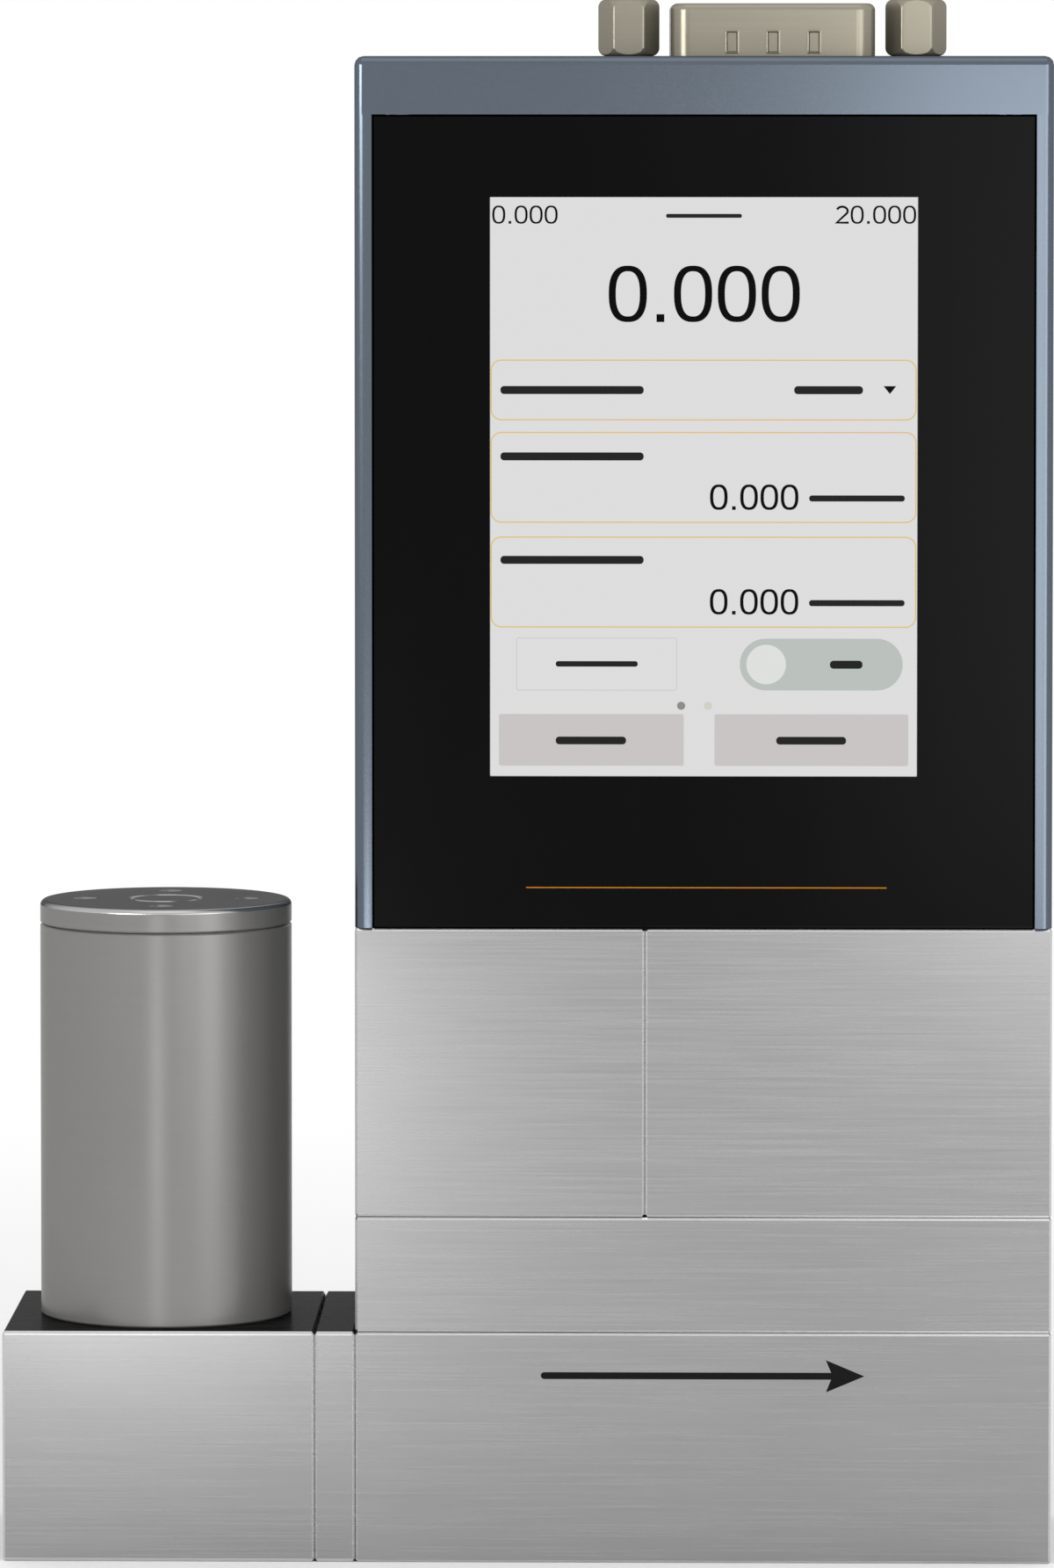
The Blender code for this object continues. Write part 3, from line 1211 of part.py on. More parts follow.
def build_screws():
    sunk = SMALL_SCREW.head_height + HEAD_SUNK
    length = VALVE_BLOCK_WIDTH + ADAPTER_WIDTH + VALVE_SCREW_GRIP - sunk
    for number, (y, z) in enumerate(VALVE_SCREW_PLACES, 1):
        seat = (LEFT + sunk - SEAM, y, z)
        cap_screw(f"valve_screw_{number}", seat, (1, 0, 0), length, SMALL_SCREW)
    sunk = LARGE_SCREW.head_height + HEAD_SUNK
    length = MANIFOLD_TOP + BODY_SCREW_GRIP - sunk
    for number, (x, y) in enumerate(BODY_SCREW_PLACES, 1):
        seat = (x, y, sunk - SEAM)
        cap_screw(f"body_screw_{number}", seat, (0, 0, 1), length, LARGE_SCREW)
    length = CAP_TOP - CASE_BOTTOM + CASE_SCREW_GRIP
    for number, (x, y) in enumerate(CASE_SCREW_PLACES, 1):
        sunk_screw(f"case_screw_{number}", (x, y, CAP_TOP), length, SMALL_SCREW)


def settle_parts():
    """Turns every part into a plain mesh with smooth faces and sharp edges, and drops the cutters."""
    meshes = {part.name: settled_mesh(part) for part in PARTS.objects}
    for part in list(PARTS.objects):
        mesh = meshes[part.name]
        origin = part.location.copy()
        name = part.name
        bpy.data.objects.remove(part)
        mesh.transform(Matrix.Translation(-origin))
        mesh.shade_smooth()
        mesh.set_sharp_from_angle(angle=SHARP_ANGLE)
        plain = bpy.data.objects.new(name, mesh)
        plain.location = origin
        mesh.name = name
        PARTS.objects.link(plain)
    for cutter in list(CUTTERS.objects):
        bpy.data.objects.remove(cutter)
    bpy.data.collections.remove(CUTTERS)


clear_scene()
PARTS = new_collection("flow_controller")
CUTTERS = new_collection("cutters")
build_valve_block()
build_adapter_plate()
build_flow_body()
build_laminar_element()
build_manifold_plate()
build_sensor_block("sensor_block_left", BODY_LEFT, BLOCK_SPLIT - SEAM)
build_sensor_block("sensor_block_right", BLOCK_SPLIT, RIGHT)
build_sensors()
build_valve()
build_solenoid()
build_case()
build_front()
build_boards()
build_cap()
build_connector()
build_jackscrews()
build_screws()
settle_parts()
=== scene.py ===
import json
import math
from collections import namedtuple

import bmesh
import bpy
from mathutils import Matrix, Vector

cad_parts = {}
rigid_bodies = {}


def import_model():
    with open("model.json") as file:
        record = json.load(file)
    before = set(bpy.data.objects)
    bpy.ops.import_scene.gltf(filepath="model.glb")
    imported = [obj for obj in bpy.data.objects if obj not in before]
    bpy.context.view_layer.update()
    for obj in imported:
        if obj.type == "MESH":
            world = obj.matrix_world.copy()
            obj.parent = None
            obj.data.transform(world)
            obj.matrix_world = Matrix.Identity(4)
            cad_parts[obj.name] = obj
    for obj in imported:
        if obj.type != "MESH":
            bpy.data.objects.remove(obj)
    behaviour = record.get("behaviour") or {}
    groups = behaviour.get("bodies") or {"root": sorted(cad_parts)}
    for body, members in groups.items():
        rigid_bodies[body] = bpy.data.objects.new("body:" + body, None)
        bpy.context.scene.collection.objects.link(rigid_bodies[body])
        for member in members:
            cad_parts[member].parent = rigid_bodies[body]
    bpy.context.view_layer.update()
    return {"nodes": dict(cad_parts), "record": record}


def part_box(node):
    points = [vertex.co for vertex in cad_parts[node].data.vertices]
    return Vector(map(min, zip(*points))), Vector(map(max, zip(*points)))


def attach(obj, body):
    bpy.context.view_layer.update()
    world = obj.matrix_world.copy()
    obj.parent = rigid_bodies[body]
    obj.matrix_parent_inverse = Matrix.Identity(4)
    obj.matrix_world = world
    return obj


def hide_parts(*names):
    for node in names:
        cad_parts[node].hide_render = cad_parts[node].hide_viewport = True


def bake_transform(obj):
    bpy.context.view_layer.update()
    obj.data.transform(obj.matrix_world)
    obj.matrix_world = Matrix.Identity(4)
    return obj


for old in list(bpy.data.objects):
    bpy.data.objects.remove(old)
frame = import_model()
NODES = frame["nodes"]

Field = namedtuple("Field", "left top right bottom")
Numeral = namedtuple("Numeral", "text left top pitch height weight")
Lamp = namedtuple("Lamp", "name place width height power")

# Camera: the photograph's frame and the lens that gives its perspective
SENSOR_MM = 36
LENS_MM = 191.6
CAMERA_PLACE = (0.01178, -0.72841, 0.12575)
CAMERA_YAW = math.radians(0.936)
CAMERA_PITCH = math.radians(2.611)
CAMERA_SHIFT_Y = -0.19
CLIP_START = 0.01
CLIP_END = 10

# Lamps
LAMP_AIM = (0.0, 0.0, 0.07)
LAMPS = [
    Lamp("front_left", (-0.058, -0.31, 0.006), 0.036, 0.026, 0.052),
    Lamp("front_right", (0.072, -0.26, 0.095), 0.07, 0.13, 0.07),
    Lamp("side_right", (0.135, -0.175, 0.085), 0.09, 0.16, 0.12),
    Lamp("high_left", (-0.165, -0.205, 0.145), 0.12, 0.05, 0.16),
    Lamp("top", (0.0, -0.15, 0.75), 0.5, 0.5, 0.4),
]

# Floor and world: away from the object the floor fades into the white background
FLOOR_HALF = 12.0
FLOOR_DROP = 0.00002
FADE_START = 0.08
FADE_END = 0.3
WORLD_LEVEL = 0.85
WHITE = (1.0, 1.0, 1.0, 1.0)
PAPER_LIGHT = (0.93, 0.93, 0.93, 1.0)
PAPER_DARK = (0.9, 0.9, 0.9, 1.0)
PAPER_GRAIN = (400, 400, 400)

# Surfaces: grains and clouds in waves per metre, and the tints of metal seen at a shallow angle
NOISE_LOW = 0.3
NOISE_HIGH = 0.7
BRUSH_GRAIN = 5200
BRUSH_LENGTH = 80
BRUSH_CLOUDS = (55, 55, 160)
BRUSH_DEPTH = 0.0000008
LATHE_RINGS = (30, 30, 4500)
LATHE_CLOUDS = (90, 90, 60)
LATHE_DEPTH = 0.0000004
FINE_LATHE_DEPTH = 0.00000007
BLAST_GRAIN = (9000, 9000, 9000)
BLAST_CLOUDS = (45, 45, 45)
BLAST_DEPTH = 0.0000015
MOULD_GRAIN = (4000, 4000, 4000)
MOULD_DEPTH = 0.00001
PAINT_GRAIN = (3000, 3000, 3000)
PAINT_DEPTH = 0.000002
GLASS_SMEARS = (60, 60, 25)
PIXEL_GRAIN = (6000, 6000, 6000)
PIXEL_DIM = 0.97
SCREEN_GLOW = 0.99
SCREEN_BASE = 0.03
DARK_EDGE = (0.08, 0.08, 0.08, 1.0)
MID_EDGE = (0.3, 0.3, 0.3, 1.0)
SOFT_EDGE = (0.56, 0.56, 0.56, 1.0)

# Blocks
INLET_BLOCKS = ["valve_block", "adapter_plate"]
END_CHAMFER = 0.0002

# Solenoid
CAN_WALL = 0.0015
CAN_FLOOR = 0.002
CAN_CHAMFER = 0.00015
CAN_BORE = 0.0048
LID_FILLET = 0.0005
LID_SPIGOT = 0.002
CORE_STUD_RADIUS = 0.00305
STUD_GAP = 0.0001
STUD_CHAMFER = 0.00025
SHOULDER_DROP = 0.00005
KEY_HOLE_RADIUS = 0.001
KEY_HOLE_DEPTH = 0.0008
KEY_HOLE_CIRCLE = 0.0071
KEY_HOLE_THROAT = 0.0005
KEY_HOLES = 4
LEVEL_FACE = 0.99
SLOPING_FACE = 0.1

# Connector
SHELL_WIDTH = 0.018
SHELL_DEPTH = 0.0093
SHELL_SLOPE = math.radians(1)
SHELL_CORNER = 0.0017
SHELL_SHEET = 0.00045
SHELL_RIM = 0.0006
FLANGE_SHEET = 0.0008
FLANGE_CORNER = 0.0015
DIMPLE_WIDTH = 0.0009
DIMPLE_HEIGHT = 0.00175
DIMPLE_PROUD = 0.00006
DIMPLE_DEPTH = 0.00015
DIMPLE_SLOPE = 0.00008
DIMPLE_LEAN = math.radians(22)
DIMPLE_PITCH = 0.00355
DIMPLE_LIFT = 0.00125
REAR_GAP = 0.0001
PIN_HOLE_GAP = 0.00005
JACK_ACROSS_FLATS = 0.00475
JACK_ROUND_RADIUS = 0.00266
JACK_FILLET = 0.0007
JACK_EDGE = 0.00018
JACK_SIDES = 6
JACK_COLLAR = 0.00005
JACK_STUD_RADIUS = 0.0014
JACK_HOLE_GAP = 0.0001
JACK_THREAD_RADIUS = 0.00125
JACK_THREAD_DEPTH = 0.0035
JACK_THREAD_PITCH = 0.000635
JACK_THREAD_RIDGE = 0.0002

# Ports and mounting holes
PORT_RADIUS = 0.0044
PORT_HEIGHT = 0.009
PORT_MOUTH = 0.0007
PORT_THREAD_PITCH = 0.00094
PORT_THREAD_TURNS = 8
PORT_THREAD_RISE = 0.00045
THREAD_BED = 0.00002
THREAD_CORNERS = (0.05, 0.95, 0.56, 0.44)

# Flow arrow, let into the front of the body
ARROW_LEFT = 0.00127
ARROW_NECK = 0.0263
ARROW_BACK = 0.02585
ARROW_TIP = 0.02918
ARROW_HEIGHT = 0.01625
ARROW_SHAFT = 0.0006
ARROW_HEAD = 0.0028
ARROW_DEPTH = 0.0001
ARROW_SUNK = 0.00001

# Fine line on the front glass
LINE_LEFT = 0.0
LINE_RIGHT = 0.031
LINE_BOTTOM = 0.05846
LINE_WIDTH = 0.0001
LINE_THICKNESS = 0.00002

# Screen: the fields are in millimetres across and down from its upper left corner, arcs in degrees
MM = 0.001
SCREEN_WIDTH = 0.0367
SCREEN_TOP = 0.1179
INK_STEP = 0.000008
LOWER_LAYER = 1
UPPER_LAYER = 2
BOX_LEFT = 0.06
BOX_RIGHT = 36.6
BOX_ROWS = [(13.93, 19.15), (20.14, 27.96), (29.14, 36.97)]
BOX_LINE = 0.1
BOX_CORNER = 0.92
OUTLINE_BUTTON = Field(2.25, 37.83, 16.09, 42.41)
OUTLINE_LINE = 0.09
OUTLINE_CORNER = 0.23
SWITCH = Field(21.46, 37.91, 35.45, 42.37)
SWITCH_KNOB = (23.73, 40.14)
SWITCH_KNOB_RADIUS = 1.7
DOTS = [(16.43, 43.7), (18.74, 43.7)]
DOT_RADIUS = 0.35
BUTTONS = [Field(0.77, 44.42, 16.66, 48.88), Field(19.3, 44.42, 35.94, 48.88)]
BUTTON_CORNER = 0.2
MENU_MARK = Field(33.76, 16.2, 34.85, 16.88)
WORDS = [
    Field(15.1, 0.9, 21.6, 2.3),
    Field(0.9, 15.1, 13.2, 18.0),
    Field(26.1, 15.1, 32.0, 18.0),
    Field(0.9, 20.8, 13.2, 23.7),
    Field(0.9, 29.7, 13.2, 32.6),
    Field(27.4, 24.75, 35.6, 26.95),
    Field(27.4, 33.75, 35.6, 35.95),
    Field(5.65, 39.1, 12.7, 41.1),
    Field(29.2, 38.7, 32.0, 41.6),
    Field(5.65, 45.3, 11.7, 48.1),
    Field(24.6, 45.3, 30.6, 48.1),
]
WORD_WEIGHT = 0.24
WORD_ROUNDING = 0.9
NUMERALS = [
    Numeral("0.000", 0.2, 0.72, 1.286, 1.56, 0.15),
    Numeral("20.000", 29.63, 0.72, 1.286, 1.56, 0.15),
    Numeral("0.000", 10.19, 5.87, 3.756, 4.84, 0.162),
    Numeral("0.000", 18.89, 24.65, 1.74, 2.19, 0.165),
    Numeral("0.000", 18.89, 33.65, 1.74, 2.19, 0.165),
]
DIGIT_SHARE = 0.872
POINT_PITCH = 0.49
POINT_SIZE = 0.18
DIGIT_POWER = 2.5
NOUGHT_THIN = 0.8
ARCH_SHARE = 0.3
ARCH_START = 200
ARCH_SWEEP = 190
ARCH_STEPS = 16
MITRE_LEAST = 0.5

# Facets and tolerances
ROUND_STEPS = 128
FINE_STEPS = 96
DIGIT_STEPS = 64
SMALL_STEPS = 48
KEY_HOLE_STEPS = 40
COARSE_STEPS = 24
ARC_STEPS = 10
FILLET_STEPS = 8
JACK_EDGE_STEPS = 5
OVERCUT = 0.001
WELD = 0.000001
WELD_MM = 0.0005
FLAT_ANGLE = math.radians(0.5)
SHARP_ANGLE = math.radians(35)
TO_FRONT = Matrix.Rotation(math.radians(90), 4, "X")
TO_MM = Matrix.Scale(1000, 4)
FROM_MM = Matrix.Scale(0.001, 4)


class Shader:
    """A Principled material with short ways to add nodes to it."""

    def __init__(self, name, **settings):
        self.material = bpy.data.materials.new(name)
        self.material.use_nodes = True
        self.tree = self.material.node_tree
        self.surface = self.tree.nodes["Principled BSDF"]
        for label, value in settings.items():
            socket = label.replace("_", " ").title().replace("Ior", "IOR")
            self.surface.inputs[socket].default_value = value

    def add(self, kind, inputs=(), **settings):
        made = self.tree.nodes.new(kind)
        for label, value in settings.items():
            setattr(made, label, value)
        for label, value in dict(inputs).items():
            self.feed(made.inputs[label], value)
        return made

    def feed(self, socket, value):
        if isinstance(value, bpy.types.NodeSocket):
            self.tree.links.new(value, socket)
        else:
            socket.default_value = value

    def math(self, operation, *values):
        made = self.add("ShaderNodeMath", operation=operation)
        for socket, value in zip(made.inputs, values):
            self.feed(socket, value)
        return made.outputs[0]

    def place(self, scale=(1, 1, 1)):
        """Object coordinates, in metres, times a scale for each axis."""
        source = self.add("ShaderNodeTexCoord").outputs["Object"]
        return self.add("ShaderNodeMapping", {"Vector": source, "Scale": scale}).outputs[0]

    def noise(self, scale, detail=2.0, roughness=0.5):
        inputs = {"Vector": self.place(scale), "Scale": 1.0, "Detail": detail, "Roughness": roughness}
        return self.add("ShaderNodeTexNoise", inputs).outputs["Fac"]

    def spread(self, factor, low, high, start=0.0, end=1.0):
        """Factor from start to end becomes a value from low to high."""
        inputs = {"Value": factor, "From Min": start, "From Max": end, "To Min": low, "To Max": high}
        return self.add("ShaderNodeMapRange", inputs).outputs[0]

    def vary(self, pattern, low, high):
        """A noise pattern, nearly all of which lies near its middle, becomes a value from low to high."""
        return self.spread(pattern, low, high, NOISE_LOW, NOISE_HIGH)

    def mixed(self, first, second, share):
        """A share of the first pattern with the rest of the second, spread from nought to one."""
        part = self.math("MULTIPLY", first, share)
        rest = self.math("MULTIPLY", second, 1 - share)
        return self.vary(self.math("ADD", part, rest), 0.0, 1.0)

    def blend(self, factor, first, second):
        """A colour between first and second."""
        made = self.add("ShaderNodeMix", data_type="RGBA")
        self.feed(made.inputs[0], factor)
        self.feed(made.inputs[6], first)
        self.feed(made.inputs[7], second)
        return made.outputs[2]

    def finish(self, base, pattern, roughness, swing):
        """The surface's colour, and its roughness, which the pattern moves by swing either way."""
        varied = self.vary(pattern, roughness - swing, roughness + swing)
        self.feed(self.surface.inputs["Base Color"], base)
        self.feed(self.surface.inputs["Roughness"], varied)

    def bump(self, height, distance):
        inputs = {"Height": height, "Distance": distance, "Strength": 1.0}
        self.feed(self.surface.inputs["Normal"], self.add("ShaderNodeBump", inputs).outputs[0])

    def normal_sizes(self):
        """How far the surface faces along each axis, either way."""
        normal = self.add("ShaderNodeNewGeometry").outputs["True Normal"]
        parts = self.add("ShaderNodeSeparateXYZ", {"Vector": normal})
        return [self.math("ABSOLUTE", part) for part in parts.outputs]

    def ground_and_highlight_edges(self, sizes):
        """One on the narrow slanting faces along an edge, where the lighter ground steel and painted
        highlight go, and nought on the faces beside them.
        """
        most = self.math("MAXIMUM", self.math("MAXIMUM", sizes[0], sizes[1]), sizes[2])
        return self.spread(most, 1.0, 0.0, start=0.8, end=0.95)


def colour(red, green, blue):
    """A colour given as it is seen, from 0 to 255, in linear light."""
    seen = [value / 255 for value in (red, green, blue)]
    return tuple(v / 12.92 if v <= 0.04045 else ((v + 0.055) / 1.055) ** 2.4 for v in seen) + (1.0,)


def grey(level):
    return colour(level, level, level)


def dimmed(tone, share):
    return tuple(share * value for value in tone[:3]) + (1.0,)


def brushed_metal(name, light, dark, edge, roughness, edge_tint):
    """Metal brushed along X on its front and top and along Y on its ends, with its ground edges in a
    lighter colour: partly the ground steel and partly a painted highlight.
    """
    made = Shader(name, metallic=1.0, specular_tint=edge_tint)
    along = BRUSH_GRAIN / BRUSH_LENGTH
    sizes = made.normal_sizes()
    upright = made.noise((along, along, BRUSH_GRAIN), detail=2.0, roughness=0.6)
    flat = made.noise((along, BRUSH_GRAIN, along), detail=2.0, roughness=0.6)
    lies_flat = made.spread(sizes[2], 0.0, 1.0, start=0.6, end=0.8)
    lines = made.add("ShaderNodeMix", {0: lies_flat, 2: upright, 3: flat}).outputs[0]
    clouds = made.noise(BRUSH_CLOUDS, detail=3.0)
    face = made.blend(made.mixed(lines, clouds, share=0.55), dark, light)
    # The edges' lighter colour is partly ground steel and partly a painted highlight.
    made.finish(made.blend(made.ground_and_highlight_edges(sizes), face, edge), lines, roughness, swing=0.03)
    made.bump(lines, BRUSH_DEPTH)
    return made.material


def turned_metal(name, light, dark, roughness, edge_tint, metallic=1.0, gloss=0.5, depth=LATHE_DEPTH):
    """Metal with the fine rings that a lathe leaves, stacked along Z."""
    made = Shader(name, metallic=metallic, specular_tint=edge_tint, specular_ior_level=gloss)
    rings = made.noise(LATHE_RINGS, detail=2.0, roughness=0.6)
    clouds = made.noise(LATHE_CLOUDS, detail=3.0)
    base = made.blend(made.mixed(rings, clouds, share=0.4), dark, light)
    made.finish(base, rings, roughness, swing=0.02)
    made.bump(rings, depth)
    return made.material


def anodised_metal(name, light, dark, roughness):
    """Blasted and anodised aluminium: a fine even grain."""
    made = Shader(name, metallic=1.0, specular_tint=grey(188))
    grain = made.noise(BLAST_GRAIN, detail=2.0)
    clouds = made.noise(BLAST_CLOUDS, detail=3.0)
    base = made.blend(made.mixed(grain, clouds, share=0.5), dark, light)
    made.finish(base, grain, roughness, swing=0.02)
    made.bump(grain, BLAST_DEPTH)
    return made.material


def moulded(name, light, dark, roughness):
    """Plastic or rubber with the fine texture of its mould."""
    made = Shader(name)
    texture = made.noise(MOULD_GRAIN, detail=3.0)
    made.finish(made.blend(texture, dark, light), texture, roughness, swing=0.08)
    made.bump(texture, MOULD_DEPTH)
    return made.material


def painted(name, light, dark):
    """A thin matt paint with very little gloss."""
    made = Shader(name, specular_ior_level=0.12)
    texture = made.noise(PAINT_GRAIN, detail=3.0)
    made.finish(made.blend(texture, dark, light), texture, roughness=0.55, swing=0.05)
    made.bump(texture, PAINT_DEPTH)
    return made.material


def dark_glass():
    """Black printed glass, with faint smears that only its gloss shows."""
    made = Shader("dark_glass", specular_ior_level=0.065)
    smears = made.noise(GLASS_SMEARS, detail=4.0, roughness=0.6)
    made.finish(made.blend(smears, grey(1), grey(3)), smears, roughness=0.21, swing=0.03)
    return made.material


def lit(name, red, green, blue):
    """A part of the lit screen: fine pixel rows over an even glow."""
    tone = colour(red, green, blue)
    made = Shader(name, roughness=0.3, specular_ior_level=0.03, emission_strength=SCREEN_GLOW)
    rows = made.noise(PIXEL_GRAIN, detail=1.0)
    glow = made.blend(rows, dimmed(tone, PIXEL_DIM), tone)
    made.feed(made.surface.inputs["Emission Color"], glow)
    made.feed(made.surface.inputs["Base Color"], made.blend(rows, dimmed(tone, SCREEN_BASE), grey(6)))
    return made.material


def mesh_of(name, shape):
    mesh = bpy.data.meshes.new(name)
    shape.to_mesh(mesh)
    shape.free()
    made = bpy.data.objects.new(name, mesh)
    bpy.context.scene.collection.objects.link(made)
    return made


def closed(name, shape):
    """A finished mesh, with its faces turned outwards."""
    bmesh.ops.recalc_face_normals(shape, faces=shape.faces)
    return mesh_of(name, shape)


def bridge(shape, one, other):
    """The faces between one ring of points and the next."""
    for i in range(len(one)):
        shape.faces.new((one[i - 1], one[i], other[i], other[i - 1]))


def turned(name, profile, origin, steps=ROUND_STEPS):
    """Revolves (radius, height) points about the upright line through origin, from its left round."""
    place = Matrix.Translation(origin)
    angles = [2 * math.pi * i / steps for i in range(steps)]
    shape = bmesh.new()
    rings = []
    for radius, height in profile:
        if radius == 0:
            rings.append([shape.verts.new(place @ Vector((0, 0, height)))])
            continue
        points = [Vector((-radius * math.cos(a), -radius * math.sin(a), height)) for a in angles]
        rings.append([shape.verts.new(place @ point) for point in points])
    pairs = list(zip(rings, rings[1:]))
    if profile[0][0] != 0:
        pairs.append((rings[-1], rings[0]))
    for upper, lower in pairs:
        for i in range(steps):
            corners = [upper[i % len(upper)], lower[i % len(lower)]]
            corners += [lower[(i + 1) % len(lower)], upper[(i + 1) % len(upper)]]
            shape.faces.new(list(dict.fromkeys(corners)))
    return closed(name, shape)


def refined(node, name):
    """A copy of a CAD node's mesh, welded so that its round edges can shade smoothly."""
    shape = bmesh.new()
    shape.from_mesh(NODES[node].data)
    bmesh.ops.remove_doubles(shape, verts=shape.verts, dist=WELD)
    bmesh.ops.dissolve_limit(shape, angle_limit=FLAT_ANGLE, verts=shape.verts, edges=shape.edges)
    made = mesh_of(name, shape)
    stored = made.data.attributes.get("custom_normal")
    if stored:
        made.data.attributes.remove(stored)
    return made


def reach_up(piece, height):
    """Brings the piece's top face up to what lies on it."""
    top = max(vert.co.z for vert in piece.data.vertices)
    for vert in piece.data.vertices:
        if vert.co.z > top - WELD:
            vert.co.z = height


def slim_ends(piece):
    """Narrows the chamfers along the piece's four upright edges."""
    for axis in (0, 1):
        places = [vert.co[axis] for vert in piece.data.vertices]
        for end, sign in ((min(places), 1), (max(places), -1)):
            inset = min(abs(place - end) for place in places if abs(place - end) > WELD)
            for vert in piece.data.vertices:
                if abs(vert.co[axis] - end - sign * inset) < WELD:
                    vert.co[axis] = end + sign * END_CHAMFER


def joined(name, pieces):
    """Several meshes as one object."""
    shape = bmesh.new()
    for piece in pieces:
        shape.from_mesh(piece.data)
        bpy.data.objects.remove(piece)
    return mesh_of(name, shape)


def settle(piece):
    """Applies the piece's modifiers and welds the points that they leave on top of each other."""
    graph = bpy.context.evaluated_depsgraph_get()
    mesh = bpy.data.meshes.new_from_object(piece.evaluated_get(graph))
    mesh.name = piece.name
    shape = bmesh.new()
    shape.from_mesh(mesh)
    bmesh.ops.remove_doubles(shape, verts=shape.verts, dist=WELD_MM)
    shape.to_mesh(mesh)
    shape.free()
    piece.modifiers.clear()
    piece.data = mesh


def combine(target, operation, others):
    """One Boolean after another, worked in millimetres to stay clear of the solver's smallest lengths."""
    target.data.transform(TO_MM)
    for other in others:
        other.data.transform(TO_MM)
        step = target.modifiers.new(operation.lower(), "BOOLEAN")
        step.operation = operation
        step.object = other
        settle(target)
        bpy.data.objects.remove(other)
    target.data.transform(FROM_MM)
    return target


def cut(target, *cutters):
    return combine(target, "DIFFERENCE", cutters)


def fuse(target, *pieces):
    return combine(target, "UNION", pieces)


def smooth(piece):
    """Smooth shading between sharp edges, with flat faces kept flat."""
    piece.data.shade_smooth()
    piece.data.set_sharp_from_angle(angle=SHARP_ANGLE)
    weigh = piece.modifiers.new("weigh", "WEIGHTED_NORMAL")
    weigh.keep_sharp = True
    return piece


def finished(piece, material, slot_name, *nodes, body="housing"):
    """Gives a piece its material and body, and hides the nodes that it stands for."""
    piece.data.materials.clear()
    piece.data.materials.append(material)
    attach(piece, body)
    if nodes:
        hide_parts(*nodes)


def quarter(radius):
    """(outward, drop) along a quarter round, from its top to its outer side."""
    angles = [math.pi / 2 * i / FILLET_STEPS for i in range(FILLET_STEPS + 1)]
    return [(radius * math.sin(a), radius * (1 - math.cos(a))) for a in angles]


def rounded(corners, radius, inset=0.0, arc_steps=ARC_STEPS):
    """Points of a convex outline, anticlockwise, with round corners; inset moves it inwards."""
    points = []
    count = len(corners)
    for index, corner in enumerate(corners):
        here = Vector(corner)
        back = (Vector(corners[index - 1]) - here).normalized()
        ahead = (Vector(corners[(index + 1) % count]) - here).normalized()
        half = back.angle(ahead) / 2
        centre = here + (back + ahead).normalized() * radius / math.sin(half)
        first = math.atan2(back.x, -back.y)
        sweep = math.pi - 2 * half
        for step in range(arc_steps + 1):
            angle = first + sweep * step / arc_steps
            points.append(centre + Vector((math.cos(angle), math.sin(angle))) * (radius - inset))
    return points


def rectangle(left, bottom, right, top, corner=0.0):
    corners = [(left, bottom), (right, bottom), (right, top), (left, top)]
    return rounded(corners, corner) if corner else [Vector(point) for point in corners]


def circle(middle, radius, sides=SMALL_STEPS):
    turns = [2 * math.pi * i / sides for i in range(sides)]
    return [Vector((middle[0] + radius * math.cos(a), middle[1] + radius * math.sin(a))) for a in turns]


def middle_of(low, high):
    """The middle of a box, as seen from above."""
    return ((low.x + high.x) / 2, (low.y + high.y) / 2)


def slab(name, outlines, bottom, top, place=None):
    """A plate between two heights; the first outline is its edge and the others are holes."""
    shape = bmesh.new()
    edges = []
    for outline in outlines:
        verts = [shape.verts.new((point[0], point[1], bottom)) for point in outline]
        edges += [shape.edges.new((verts[i - 1], verts[i])) for i in range(len(verts))]
    bmesh.ops.triangle_fill(shape, edges=edges, use_beauty=True, use_dissolve=False)
    raised = bmesh.ops.extrude_face_region(shape, geom=list(shape.faces))
    moved = [item for item in raised["geom"] if isinstance(item, bmesh.types.BMVert)]
    bmesh.ops.translate(shape, verts=moved, vec=(0, 0, top - bottom))
    bmesh.ops.recalc_face_normals(shape, faces=shape.faces)
    if place:
        bmesh.ops.transform(shape, matrix=place, verts=shape.verts)
    return mesh_of(name, shape)


def front_plate(name, outlines, back, front):
    """A plate that faces the front, from outlines of X and Z, between two places in Y."""
    return slab(name, outlines, -back, -front, TO_FRONT)


def dress_nodes(looks):
    """Gives each CAD node that stays the material of its slot."""
    slots = {part["node"]: part["material_slot"] for part in frame["record"]["subparts"]}
    for name, node in NODES.items():
        material = looks[slots[name]]
        for place in node.material_slots:
            place.material = material
    return slots


def make_smooth_copies(looks, slots):
    """The case, the cap and the screws, with their fillets and round heads shaded smoothly."""
    screws = [name for name in NODES if name.startswith(("valve_screw", "body_screw", "case_screw"))]
    for node in [*INLET_BLOCKS, "case_shell", "top_cap", *screws]:
        piece = refined(node, f"{node}_finish")
        if node in INLET_BLOCKS:
            slim_ends(piece)
        if node == "case_shell":
            reach_up(piece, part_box("top_cap")[0].z)
        finished(smooth(piece), looks[slots[node]], slots[node], node)


def make_spring(look):
    """The return spring, shaded smoothly; it stays as it is when the plunger rises."""
    spring = refined("plunger_spring", "plunger_spring_finish")
    spring.data.shade_smooth()
    spring.data.materials.clear()
    spring.data.materials.append(look)
    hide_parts("plunger_spring")
    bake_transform(spring)


